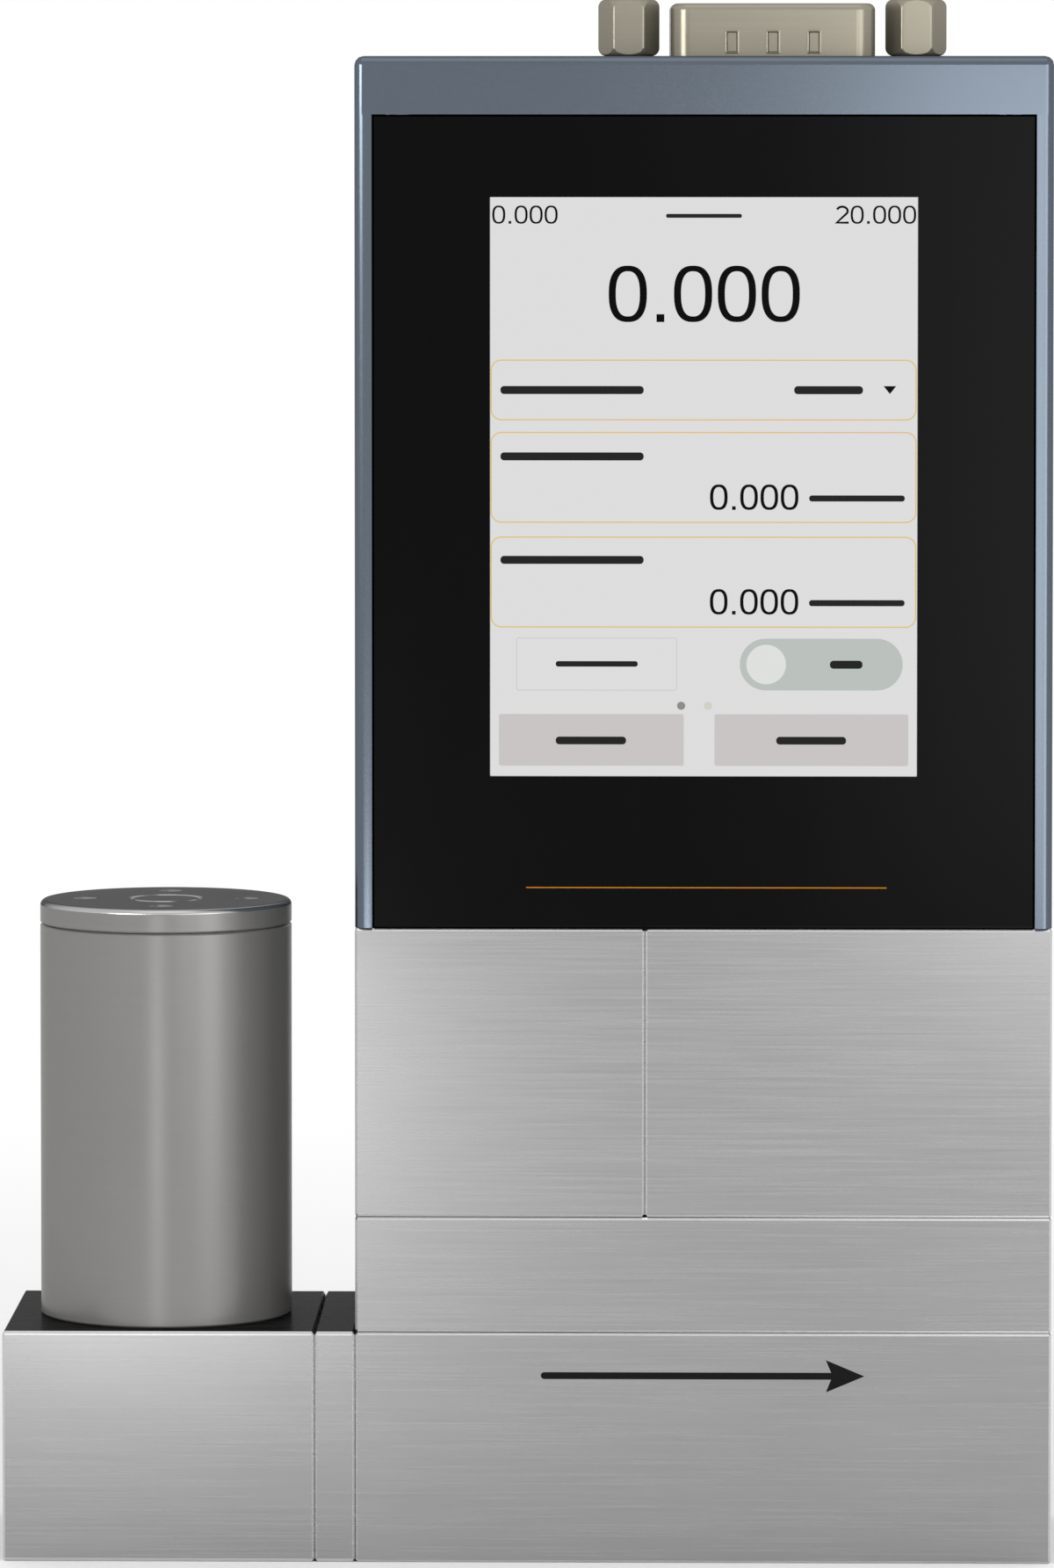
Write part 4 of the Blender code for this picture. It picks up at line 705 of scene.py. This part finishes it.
def make_body(steel, paint):
    """The flow body with its arrow let in and painted."""
    half = ARROW_SHAFT / 2
    tail = circle((ARROW_LEFT + half, ARROW_HEIGHT), half, COARSE_STEPS)
    tail = [point for point in tail if point.x <= ARROW_LEFT + half + WELD]
    tail.sort(key=lambda point: -point.y)
    head = ARROW_HEAD / 2
    outline = tail + [
        Vector((ARROW_NECK, ARROW_HEIGHT - half)),
        Vector((ARROW_BACK, ARROW_HEIGHT - head)),
        Vector((ARROW_TIP, ARROW_HEIGHT)),
        Vector((ARROW_BACK, ARROW_HEIGHT + head)),
        Vector((ARROW_NECK, ARROW_HEIGHT + half)),
    ]
    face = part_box("flow_body")[0].y
    body = refined("flow_body", "flow_body_finish")
    floor = face + ARROW_DEPTH
    cut(body, front_plate("arrow_cutter", [outline], floor, face - OVERCUT))
    finished(smooth(body), steel, "block_steel", "flow_body")
    inlay = front_plate("flow_arrow", [outline], floor, face + ARROW_SUNK)
    finished(smooth(inlay), paint, "moulded_plastic")


def make_front_line(paint):
    """The thin line on the glass under the screen."""
    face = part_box("front_panel")[0].y
    outline = rectangle(LINE_LEFT, LINE_BOTTOM, LINE_RIGHT, LINE_BOTTOM + LINE_WIDTH, LINE_WIDTH / 3)
    finished(smooth(front_plate("front_line", [outline], face, face - LINE_THICKNESS)), paint, "screen")


def port_thread(name, mouth, inward):
    """A helical ridge in a port's bore, which fades out at both ends."""
    place = Matrix.Translation(mouth) @ inward.to_track_quat("Z", "Y").to_matrix().to_4x4()
    bed = PORT_RADIUS + THREAD_BED
    shape = bmesh.new()
    count = SMALL_STEPS * PORT_THREAD_TURNS
    rings = []
    for index in range(count + 1):
        angle = 2 * math.pi * index / SMALL_STEPS
        start = PORT_THREAD_PITCH * index / SMALL_STEPS
        height = min(1, 2 * index / SMALL_STEPS, 2 * (count - index) / SMALL_STEPS)
        crest = PORT_RADIUS - PORT_THREAD_RISE * height
        ring = []
        for radius, share in zip((bed, bed, crest, crest), THREAD_CORNERS):
            along = start + PORT_THREAD_PITCH * share
            point = Vector((radius * math.cos(angle), radius * math.sin(angle), along))
            ring.append(shape.verts.new(place @ point))
        rings.append(ring)
    for one, other in zip(rings, rings[1:]):
        bridge(shape, one, other)
    shape.faces.new(rings[0])
    shape.faces.new(rings[-1])
    return smooth(closed(name, shape))


def make_port_threads(steel):
    for name, node, side in (("inlet_thread", "valve_block", 0), ("outlet_thread", "flow_body", 1)):
        mouth = Vector((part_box(node)[side].x, 0, PORT_HEIGHT))
        inward = Vector((1 - 2 * side, 0, 0))
        finished(port_thread(name, mouth + inward * PORT_MOUTH, inward), steel, "block_steel")


def solenoid_can(middle, bottom, top, outside, inside):
    """A deep cup with a bore in its floor."""
    floor = bottom + CAN_FLOOR
    profile = [(outside - CAN_CHAMFER, top), (outside, top - CAN_CHAMFER)]
    profile += [(outside, bottom + CAN_CHAMFER), (outside - CAN_CHAMFER, bottom), (CAN_BORE, bottom)]
    profile += [(CAN_BORE, floor), (inside, floor), (inside, top)]
    return turned("solenoid_can", profile, (*middle, 0))


def solenoid_cover(middle, bottom, top, outside, inside):
    """A round lid whose spigot sits in the can, with a hole for the core and four key holes."""
    seam = bottom + LID_SPIGOT
    spigot = inside - STUD_GAP
    hole = CORE_STUD_RADIUS + STUD_GAP
    corner = outside - LID_FILLET
    profile = [(hole + STUD_CHAMFER, top)]
    profile += [(corner + out, top - drop) for out, drop in quarter(LID_FILLET)]
    profile += [(outside, seam + CAN_CHAMFER), (outside - CAN_CHAMFER, seam)]
    profile += [(spigot, seam), (spigot, bottom), (hole, bottom), (hole, top - STUD_CHAMFER)]
    cover = turned("solenoid_cover", profile, (*middle, 0))
    sink = KEY_HOLE_RADIUS - KEY_HOLE_THROAT
    floor = top - KEY_HOLE_DEPTH
    key_hole = [(0, top + OVERCUT), (KEY_HOLE_RADIUS + OVERCUT, top + OVERCUT)]
    key_hole += [(KEY_HOLE_THROAT, top - sink), (KEY_HOLE_THROAT, floor), (0, floor)]
    for place in circle(middle, KEY_HOLE_CIRCLE, KEY_HOLES):
        cut(cover, turned("key_hole", key_hole, (*place, 0), KEY_HOLE_STEPS))
    return cover


def core_stud(middle, shoulder):
    """The core, with the stud above its shoulder that shows in the lid."""
    low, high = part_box("pole_core")
    wide = (high.x - low.x) / 2
    profile = [(0, high.z), (CORE_STUD_RADIUS - STUD_CHAMFER, high.z)]
    profile += [(CORE_STUD_RADIUS, high.z - STUD_CHAMFER), (CORE_STUD_RADIUS, shoulder)]
    profile += [(wide, shoulder), (wide, low.z), (0, low.z)]
    return turned("core_stud", profile, (*middle, 0), FINE_STEPS)


def make_solenoid(side_steel, shaded_top_steel, highlight_edge_steel):
    """The can, the lid and the core; the lid's top and the core carry a painted shade, and the sloping
    edges a painted highlight, each in its own copy of the steel.
    """
    low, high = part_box("solenoid_housing")
    middle = middle_of(low, high)
    outside = (high.x - low.x) / 2
    inside = outside - CAN_WALL
    can = smooth(solenoid_can(middle, low.z, high.z, outside, inside))
    finished(can, side_steel, "solenoid_steel", "solenoid_housing")

    lid_low, lid_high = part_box("solenoid_lid")
    lid = smooth(solenoid_cover(middle, lid_low.z, lid_high.z, outside, inside))
    finished(lid, side_steel, "solenoid_steel", "solenoid_lid")
    # Second steel: a painted shade on the lid's flat top.
    lid.data.materials.append(shaded_top_steel)
    # Third steel: a painted highlight on the lid's fillet and chamfers.
    lid.data.materials.append(highlight_edge_steel)
    # Flat top faces take the painted shade copy; sloping faces away from the key holes take the painted
    # highlight copy.
    for face in lid.data.polygons:
        out = (face.center.xy - Vector(middle)).length
        if face.normal.z > LEVEL_FACE:
            face.material_index = 1
        elif face.normal.z > SLOPING_FACE and abs(out - KEY_HOLE_CIRCLE) > KEY_HOLE_RADIUS + OVERCUT:
            face.material_index = 2

    # The core stud in the painted shade copy of the steel.
    stud = smooth(core_stud(middle, lid_low.z - SHOULDER_DROP))
    finished(stud, shaded_top_steel, "solenoid_steel", "pole_core")
    # The stud's chamfer takes the painted highlight copy, the rest the painted shade copy.
    stud.data.materials.append(highlight_edge_steel)
    for face in stud.data.polygons:
        face.material_index = 1 if SLOPING_FACE < face.normal.z < LEVEL_FACE else 0


def tapped_bore(top):
    """(radius, height) down the jackscrew's threaded hole, from its mouth to the middle of its floor."""
    radius = JACK_THREAD_RADIUS
    points = [(radius + JACK_THREAD_RIDGE, top), (radius, top - JACK_THREAD_RIDGE)]
    for turn in range(int(JACK_THREAD_DEPTH / JACK_THREAD_PITCH) - 1):
        height = top - JACK_THREAD_RIDGE - turn * JACK_THREAD_PITCH
        points.append((radius + JACK_THREAD_RIDGE / 2, height - JACK_THREAD_PITCH / 2))
        points.append((radius, height - JACK_THREAD_PITCH))
    floor = top - JACK_THREAD_DEPTH
    return points + [(radius, floor), (0, floor)]


def make_jackscrews(nickel):
    """Hexagon screws with rounded ends and a tapped hole."""
    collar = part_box("top_cap")[1].z + JACK_COLLAR
    corner = JACK_ROUND_RADIUS - JACK_FILLET
    rounding = [(corner + out, drop) for out, drop in quarter(JACK_FILLET)]
    across_corners = JACK_ACROSS_FLATS / 2 / math.cos(math.pi / JACK_SIDES)
    for node in ("jackscrew_left", "jackscrew_right"):
        low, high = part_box(node)
        x = (low.x + high.x) / 2
        profile = tapped_bore(high.z)[::-1] + [(radius, high.z - drop) for radius, drop in rounding]
        profile += [(radius, collar + drop) for radius, drop in reversed(rounding)]
        profile += [(JACK_STUD_RADIUS, collar), (JACK_STUD_RADIUS, low.z), (0, low.z)]
        screw = turned(f"{node}_body", profile, (x, 0, 0), FINE_STEPS)
        hexagon = rounded(circle((x, 0), across_corners, JACK_SIDES), JACK_EDGE, arc_steps=JACK_EDGE_STEPS)
        combine(screw, "INTERSECT", [slab("hexagon", [hexagon], low.z - OVERCUT, high.z + OVERCUT)])
        finished(smooth(screw), nickel, "connector_nickel", node)


def shell_outline(middle, inset=0.0):
    """The connector's D outline, its narrow side to the front."""
    half_depth = SHELL_DEPTH / 2
    wide = SHELL_WIDTH / 2
    narrow = wide - SHELL_DEPTH * math.tan(SHELL_SLOPE)
    corners = [(-narrow, -half_depth), (narrow, -half_depth), (wide, half_depth), (-wide, half_depth)]
    return [point + Vector(middle) for point in rounded(corners, SHELL_CORNER, inset)]


def tapered(name, outer, outer_y, inner, inner_y):
    """A closed solid between two outlines of X and Z, at two places in Y."""
    shape = bmesh.new()
    first = [shape.verts.new((point[0], outer_y, point[1])) for point in outer]
    second = [shape.verts.new((point[0], inner_y, point[1])) for point in inner]
    bridge(shape, first, second)
    shape.faces.new(first)
    shape.faces.new(second)
    return closed(name, shape)


def drawn_tube(middle, foot, top):
    """The shell's D tube with its rolled rim, as one closed sheet."""
    levels = [(0.0, foot)]
    levels += [(SHELL_RIM - out, top - drop) for out, drop in reversed(quarter(SHELL_RIM))]
    inner = quarter(SHELL_RIM - SHELL_SHEET)
    levels += [(SHELL_RIM - out, top - SHELL_SHEET - drop) for out, drop in inner]
    levels.append((SHELL_SHEET, foot))
    shape = bmesh.new()
    rings = []
    for inset, height in levels:
        rings.append([shape.verts.new((*point, height)) for point in shell_outline(middle, inset)])
    for one, other in zip(rings, rings[1:] + rings[:1]):
        bridge(shape, one, other)
    return closed("connector_shell", shape)


def dimple_edge(x, z, grow):
    """A dimple's outline, grown by so much all round."""
    wide = DIMPLE_WIDTH / 2 + grow
    tall = DIMPLE_HEIGHT / 2 + grow
    return rectangle(x - wide, z - tall, x + wide, z + tall, DIMPLE_SLOPE)


def press_dimple(shell, x, z, front):
    """A hollow in the shell's front, with a sloping frame round it and its bump on the inside."""
    half = DIMPLE_SLOPE / 2
    centre = front + SHELL_SHEET / 2
    back = front + SHELL_SHEET + DIMPLE_DEPTH
    foot = dimple_edge(x, z, half + (SHELL_SHEET / 2 + DIMPLE_PROUD) / math.tan(DIMPLE_LEAN))
    rim = dimple_edge(x, z, half)
    frame_piece = tapered("dimple_frame", foot, centre, rim, front - DIMPLE_PROUD)
    bump = tapered("dimple_bump", rim, centre, dimple_edge(x, z, -half), back)
    mouth = dimple_edge(x, z, DIMPLE_SLOPE)
    floor = dimple_edge(x, z, -DIMPLE_SLOPE)
    hollow = tapered("dimple_hollow", mouth, front - 2 * DIMPLE_PROUD, floor, front + DIMPLE_DEPTH)
    fuse(shell, frame_piece, bump)
    cut(shell, hollow)


def make_shell(nickel):
    """The drawn shell with its rolled rim, its flange and the three pressed dimples."""
    low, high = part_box("dsub_shell")
    middle = middle_of(low, high)
    shell = drawn_tube(middle, low.z + FLANGE_SHEET / 2, high.z)
    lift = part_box("top_cap")[1].z + DIMPLE_LIFT
    for step in (-1, 0, 1):
        press_dimple(shell, middle[0] + step * DIMPLE_PITCH, lift, middle[1] - SHELL_DEPTH / 2)

    jacks = [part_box(node) for node in ("jackscrew_left", "jackscrew_right")]
    hole = JACK_STUD_RADIUS + JACK_HOLE_GAP
    holes = [circle(((a.x + b.x) / 2, 0), hole) for a, b in jacks]
    edge = rectangle(low.x, low.y, high.x, high.y, FLANGE_CORNER)
    opening = shell_outline(middle, SHELL_SHEET / 2)
    fuse(shell, slab("flange", [edge, opening, *holes], low.z, low.z + FLANGE_SHEET))
    finished(smooth(shell), nickel, "connector_nickel", "dsub_shell")
    return middle, low.z


def make_contacts(plastic, gold, middle, flange_bottom):
    """The insulator with a round hole for each contact, and the nine contacts."""
    low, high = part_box("dsub_insulator")
    pins = [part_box(f"dsub_pin_{number}") for number in range(1, 10)]
    radius = (pins[0][1].x - pins[0][0].x) / 2
    places = [middle_of(a, b) for a, b in pins]
    holes = [circle(place, radius + PIN_HOLE_GAP, COARSE_STEPS) for place in places]
    clear = SHELL_SHEET + DIMPLE_DEPTH + REAR_GAP
    front = slab("insulator", [shell_outline(middle, clear), *holes], low.z, high.z)
    rear_edge = shell_outline(middle, -REAR_GAP)
    rear = slab("insulator_rear", [rear_edge, *holes], low.z, flange_bottom - PIN_HOLE_GAP)
    finished(smooth(fuse(front, rear)), plastic, "moulded_plastic", "dsub_insulator")
    for number, (pin_low, pin_high) in enumerate(pins, 1):
        tip = pin_high.z
        nose = [(out, tip - drop) for out, drop in quarter(radius)]
        profile = nose + [(radius, pin_low.z), (0, pin_low.z)]
        pin = turned(f"contact_{number}", profile, (*places[number - 1], 0), COARSE_STEPS)
        finished(smooth(pin), gold, "contact_gold", f"dsub_pin_{number}")


def stroke(points, width):
    """The outline of a line of even width along points."""
    points = [Vector(point) for point in points]
    sides = []
    for index, here in enumerate(points):
        before = (here - points[index - 1]).normalized() if index else None
        after = (points[index + 1] - here).normalized() if index + 1 < len(points) else None
        first, second = before or after, after or before
        across = Vector((-(first + second).y, (first + second).x)).normalized()
        square = Vector((-first.y, first.x))
        sides.append(across * width / 2 / max(across.dot(square), MITRE_LEAST))
    left = [point + side for point, side in zip(points, sides)]
    right = [point - side for point, side in zip(points, sides)]
    return left + right[::-1]


def oval(left, top, width, height):
    """A rounder-sided ellipse, as a nought has."""
    points = []
    for index in range(DIGIT_STEPS):
        angle = 2 * math.pi * index / DIGIT_STEPS
        c, s = math.cos(angle), math.sin(angle)
        across = math.copysign(abs(c) ** (2 / DIGIT_POWER), c)
        down = math.copysign(abs(s) ** (2 / DIGIT_POWER), s)
        points.append(Vector((left + width / 2 * (1 + across), top + height / 2 * (1 + down))))
    return points


def two(left, top, width, height, line):
    """The figure two: an arch, a slanting stroke and a foot."""
    half = line / 2
    reach, rise = width / 2 - half, ARCH_SHARE * height - half
    middle = (left + width / 2, top + ARCH_SHARE * height)
    degrees = [ARCH_START + ARCH_SWEEP * i / ARCH_STEPS for i in range(ARCH_STEPS + 1)]
    angles = [math.radians(turn) for turn in degrees]
    arch = [(middle[0] + reach * math.cos(a), middle[1] + rise * math.sin(a)) for a in angles]
    foot = top + height - half
    path = arch + [(left + half, foot), (left + width, foot)]
    return stroke(path, line)


def signs_of(numeral):
    """The name and the outlines of each sign of a numeral, from left to right."""
    text, start, top, pitch, height, weight = numeral
    width, line = pitch * DIGIT_SHARE, pitch * weight
    thin = line * NOUGHT_THIN
    signs = []
    for sign in text:
        if sign == ".":
            size = pitch * max(POINT_SIZE, weight)
            place = start + (pitch * POINT_PITCH - size) / 2 - (pitch - width) / 2
            foot = top + height
            signs.append(("point", [rectangle(place, foot - size, place + size, foot)]))
            start += pitch * POINT_PITCH
            continue
        if sign == "2":
            signs.append(("two", [two(start, top, width, height, line)]))
        else:
            outer = oval(start, top, width, height)
            inner = oval(start + line, top + thin, width - 2 * line, height - 2 * thin)
            signs.append(("nought", [outer, inner]))
        start += pitch
    return signs


def make_screen(ink, word, warm, faint, button, switch, knob, dot, pale_dot):
    """Numerals, boxes and buttons on the screen, and plain bars where it has words."""
    window = (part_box("front_panel")[0].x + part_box("front_panel")[1].x) / 2
    left = window - SCREEN_WIDTH / 2
    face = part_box("display_module")[0].y

    def plate(name, outlines, layer):
        placed = []
        for outline in outlines:
            placed.append([Vector((left + x * MM, SCREEN_TOP - y * MM)) for x, y in outline])
        return front_plate(name, placed, face, face - layer * INK_STEP)

    def edge_of(place, corner, inset=0.0):
        sides = (place.left + inset, place.top + inset, place.right - inset, place.bottom - inset)
        return rectangle(*sides, corner - inset)

    def field(name, place, layer, corner):
        return plate(name, [edge_of(place, corner)], layer)

    def frame_of(name, place, corner, line):
        return plate(name, [edge_of(place, corner), edge_of(place, corner, line)], LOWER_LAYER)

    def disc(name, place, layer, radius):
        return plate(name, [circle(place, radius)], layer)

    def show(name, pieces, material):
        finished(joined(name, pieces), material, "screen")

    rows = [Field(BOX_LEFT, top, BOX_RIGHT, bottom) for top, bottom in BOX_ROWS]
    show("screen_boxes", [frame_of("row", row, BOX_CORNER, BOX_LINE) for row in rows], warm)
    show("screen_outline", [frame_of("outline", OUTLINE_BUTTON, OUTLINE_CORNER, OUTLINE_LINE)], faint)
    buttons = [field("button", place, LOWER_LAYER, BUTTON_CORNER) for place in BUTTONS]
    show("screen_buttons", buttons, button)
    round_end = (SWITCH.bottom - SWITCH.top) / 2 - BOX_LINE / 10
    show("screen_switch", [field("switch", SWITCH, LOWER_LAYER, round_end)], switch)
    show("screen_knob", [disc("knob", SWITCH_KNOB, UPPER_LAYER, SWITCH_KNOB_RADIUS)], knob)
    show("screen_dot", [disc("dot", DOTS[0], LOWER_LAYER, DOT_RADIUS)], dot)
    show("screen_pale_dot", [disc("pale_dot", DOTS[1], LOWER_LAYER, DOT_RADIUS)], pale_dot)

    bars = []
    for place in WORDS:
        half = (place.bottom - place.top) * WORD_WEIGHT / 2
        middle = (place.top + place.bottom) / 2
        bar = Field(place.left, middle - half, place.right, middle + half)
        bars.append(field("bar", bar, UPPER_LAYER, half * WORD_ROUNDING))
    show("screen_bars", bars, word)

    tip = ((MENU_MARK.left + MENU_MARK.right) / 2, MENU_MARK.bottom)
    triangle = [(MENU_MARK.left, MENU_MARK.top), (MENU_MARK.right, MENU_MARK.top), tip]
    glyphs = [plate("menu_mark", [triangle], UPPER_LAYER)]
    for numeral in NUMERALS:
        glyphs += [plate(name, outlines, UPPER_LAYER) for name, outlines in signs_of(numeral)]
    show("screen_numerals", glyphs, ink)


def make_stage():
    """The floor, a pale paper that keeps the object's shadow."""
    shape = bmesh.new()
    bmesh.ops.create_grid(shape, x_segments=1, y_segments=1, size=FLOOR_HALF)
    floor = mesh_of("floor", shape)
    floor.location.z = -FLOOR_DROP
    made = Shader("floor_paper", roughness=0.9)
    tree = made.tree
    distance = made.add("ShaderNodeVectorMath", {0: made.place()}, operation="LENGTH").outputs["Value"]
    far = made.spread(distance, 0.0, 1.0, FADE_START, FADE_END)
    rays = made.add("ShaderNodeLightPath").outputs
    seen = made.math("MAXIMUM", rays["Is Camera Ray"], rays["Is Glossy Ray"])
    seen = made.math("MAXIMUM", seen, rays["Is Transmission Ray"])
    paper = made.blend(made.noise(PAPER_GRAIN, detail=2.0), PAPER_DARK, PAPER_LIGHT)
    made.feed(made.surface.inputs["Base Color"], paper)
    glow = made.add("ShaderNodeEmission", {"Color": WHITE, "Strength": 1.0})
    mix = made.add("ShaderNodeMixShader", {0: made.math("MULTIPLY", far, seen)})
    tree.links.new(made.surface.outputs[0], mix.inputs[1])
    tree.links.new(glow.outputs[0], mix.inputs[2])
    tree.links.new(mix.outputs[0], tree.nodes["Material Output"].inputs["Surface"])
    floor.data.materials.append(made.material)


def make_world():
    """A white world that is a little dimmer as light than as background."""
    world = bpy.data.worlds.new("studio")
    bpy.context.scene.world = world
    world.use_nodes = True
    nodes, links = world.node_tree.nodes, world.node_tree.links
    path = nodes.new("ShaderNodeLightPath")
    background = nodes["Background"]
    background.inputs["Color"].default_value = WHITE
    first = nodes.new("ShaderNodeMath")
    first.operation = "MAXIMUM"
    links.new(path.outputs["Is Camera Ray"], first.inputs[0])
    links.new(path.outputs["Is Glossy Ray"], first.inputs[1])
    second = nodes.new("ShaderNodeMath")
    second.operation = "MAXIMUM"
    links.new(first.outputs[0], second.inputs[0])
    links.new(path.outputs["Is Transmission Ray"], second.inputs[1])
    level = nodes.new("ShaderNodeMapRange")
    level.inputs["To Min"].default_value = WORLD_LEVEL
    level.inputs["To Max"].default_value = 1.0
    links.new(second.outputs[0], level.inputs["Value"])
    links.new(level.outputs[0], background.inputs["Strength"])


def add_light(lamp):
    light = bpy.data.lights.new(lamp.name, "AREA")
    light.shape = "RECTANGLE"
    light.size = lamp.width
    light.size_y = lamp.height
    light.energy = lamp.power
    made = bpy.data.objects.new(lamp.name, light)
    made.location = lamp.place
    made.rotation_euler = (Vector(LAMP_AIM) - Vector(lamp.place)).to_track_quat("-Z", "Y").to_euler()
    bpy.context.scene.collection.objects.link(made)


def make_camera():
    data = bpy.data.cameras.new("camera")
    data.sensor_width = SENSOR_MM
    data.lens = LENS_MM
    data.shift_y = CAMERA_SHIFT_Y
    data.clip_start = CLIP_START
    data.clip_end = CLIP_END
    camera = bpy.data.objects.new("camera", data)
    camera.location = CAMERA_PLACE
    camera.rotation_euler = (math.pi / 2 - CAMERA_PITCH, 0, CAMERA_YAW)
    bpy.context.scene.collection.objects.link(camera)
    bpy.context.scene.camera = camera


bpy.context.scene.view_settings.view_transform = "Standard"
make_camera()
make_stage()
make_world()
for lamp in LAMPS:
    add_light(lamp)

looks = {
    # block_steel: the grey(200) edge colour is ground steel and also a painted highlight on the chamfers.
    "block_steel": brushed_metal("block_steel_finish", grey(150), grey(143), grey(200), 0.26, DARK_EDGE),
    "case_anodised": anodised_metal("case_anodised_finish", colour(96, 105, 115), colour(91, 99, 109), 0.2),
    "panel_glass": dark_glass(),
    "screen": lit("screen_finish", 221, 221, 221),
    "connector_nickel": turned_metal(
        "connector_nickel_finish",
        colour(152, 147, 133),
        colour(144, 139, 125),
        0.22,
        DARK_EDGE,
        metallic=0.5,
        gloss=0.05,
    ),
    "contact_gold": turned_metal(
        "contact_gold_finish", colour(225, 190, 120), colour(205, 170, 100), 0.25, SOFT_EDGE),
    "solenoid_steel": turned_metal(
        "solenoid_steel_finish",
        colour(126, 125, 123),
        colour(122, 121, 119),
        0.31,
        MID_EDGE,
        metallic=0.45,
        depth=FINE_LATHE_DEPTH,
    ),
    "screw_steel": turned_metal("screw_steel_finish", grey(90), grey(76), 0.3, SOFT_EDGE),
    "inner_steel": turned_metal("inner_steel_finish", grey(170), grey(156), 0.3, SOFT_EDGE),
    "seal_rubber": moulded("seal_rubber_finish", grey(32), grey(24), 0.65),
    "circuit_board": moulded("circuit_board_finish", colour(30, 98, 62), colour(22, 84, 52), 0.45),
    "moulded_plastic": moulded("moulded_plastic_finish", grey(38), grey(28), 0.5),
    "ribbon_film": moulded("ribbon_film_finish", colour(190, 130, 60), colour(176, 118, 50), 0.35),
    "winding_copper": turned_metal(
        "winding_copper_finish", colour(190, 110, 70), colour(160, 86, 52), 0.35, SOFT_EDGE),
}
# shaded_lid_top: a darker copy of the solenoid steel with a dark tint at a low angle, a painted shade on
# the lid's flat top.
shaded_lid_top = turned_metal("lid_top_painted_shade", grey(128), grey(118), 0.24, DARK_EDGE)
# highlight_lid_edge: a lighter copy of the solenoid steel, a painted highlight on the lid's fillet and
# chamfers.
highlight_lid_edge = turned_metal("lid_edge_painted_highlight", grey(184), grey(174), 0.26, DARK_EDGE)
slots = dress_nodes(looks)
make_smooth_copies(looks, slots)
make_spring(looks[slots["plunger_spring"]])
make_body(looks["block_steel"], painted("arrow_paint", grey(6), grey(3)))
make_front_line(painted("line_paint", colour(165, 107, 10), colour(153, 97, 6)))
make_port_threads(looks["block_steel"])
make_solenoid(looks["solenoid_steel"], shaded_lid_top, highlight_lid_edge)
make_jackscrews(looks["connector_nickel"])
connector_middle, flange_bottom = make_shell(looks["connector_nickel"])
make_contacts(looks["moulded_plastic"], looks["contact_gold"], connector_middle, flange_bottom)
make_screen(
    ink=lit("screen_ink", 2, 2, 2),
    word=lit("screen_word", 34, 34, 34),
    warm=lit("screen_warm", 224, 190, 112),
    faint=lit("screen_faint", 206, 206, 206),
    button=lit("screen_button", 200, 196, 196),
    switch=lit("screen_switch_on", 186, 193, 188),
    knob=lit("screen_knob_on", 222, 224, 222),
    dot=lit("screen_dot_dark", 140, 140, 138),
    pale_dot=lit("screen_dot_pale", 208, 208, 196),
)
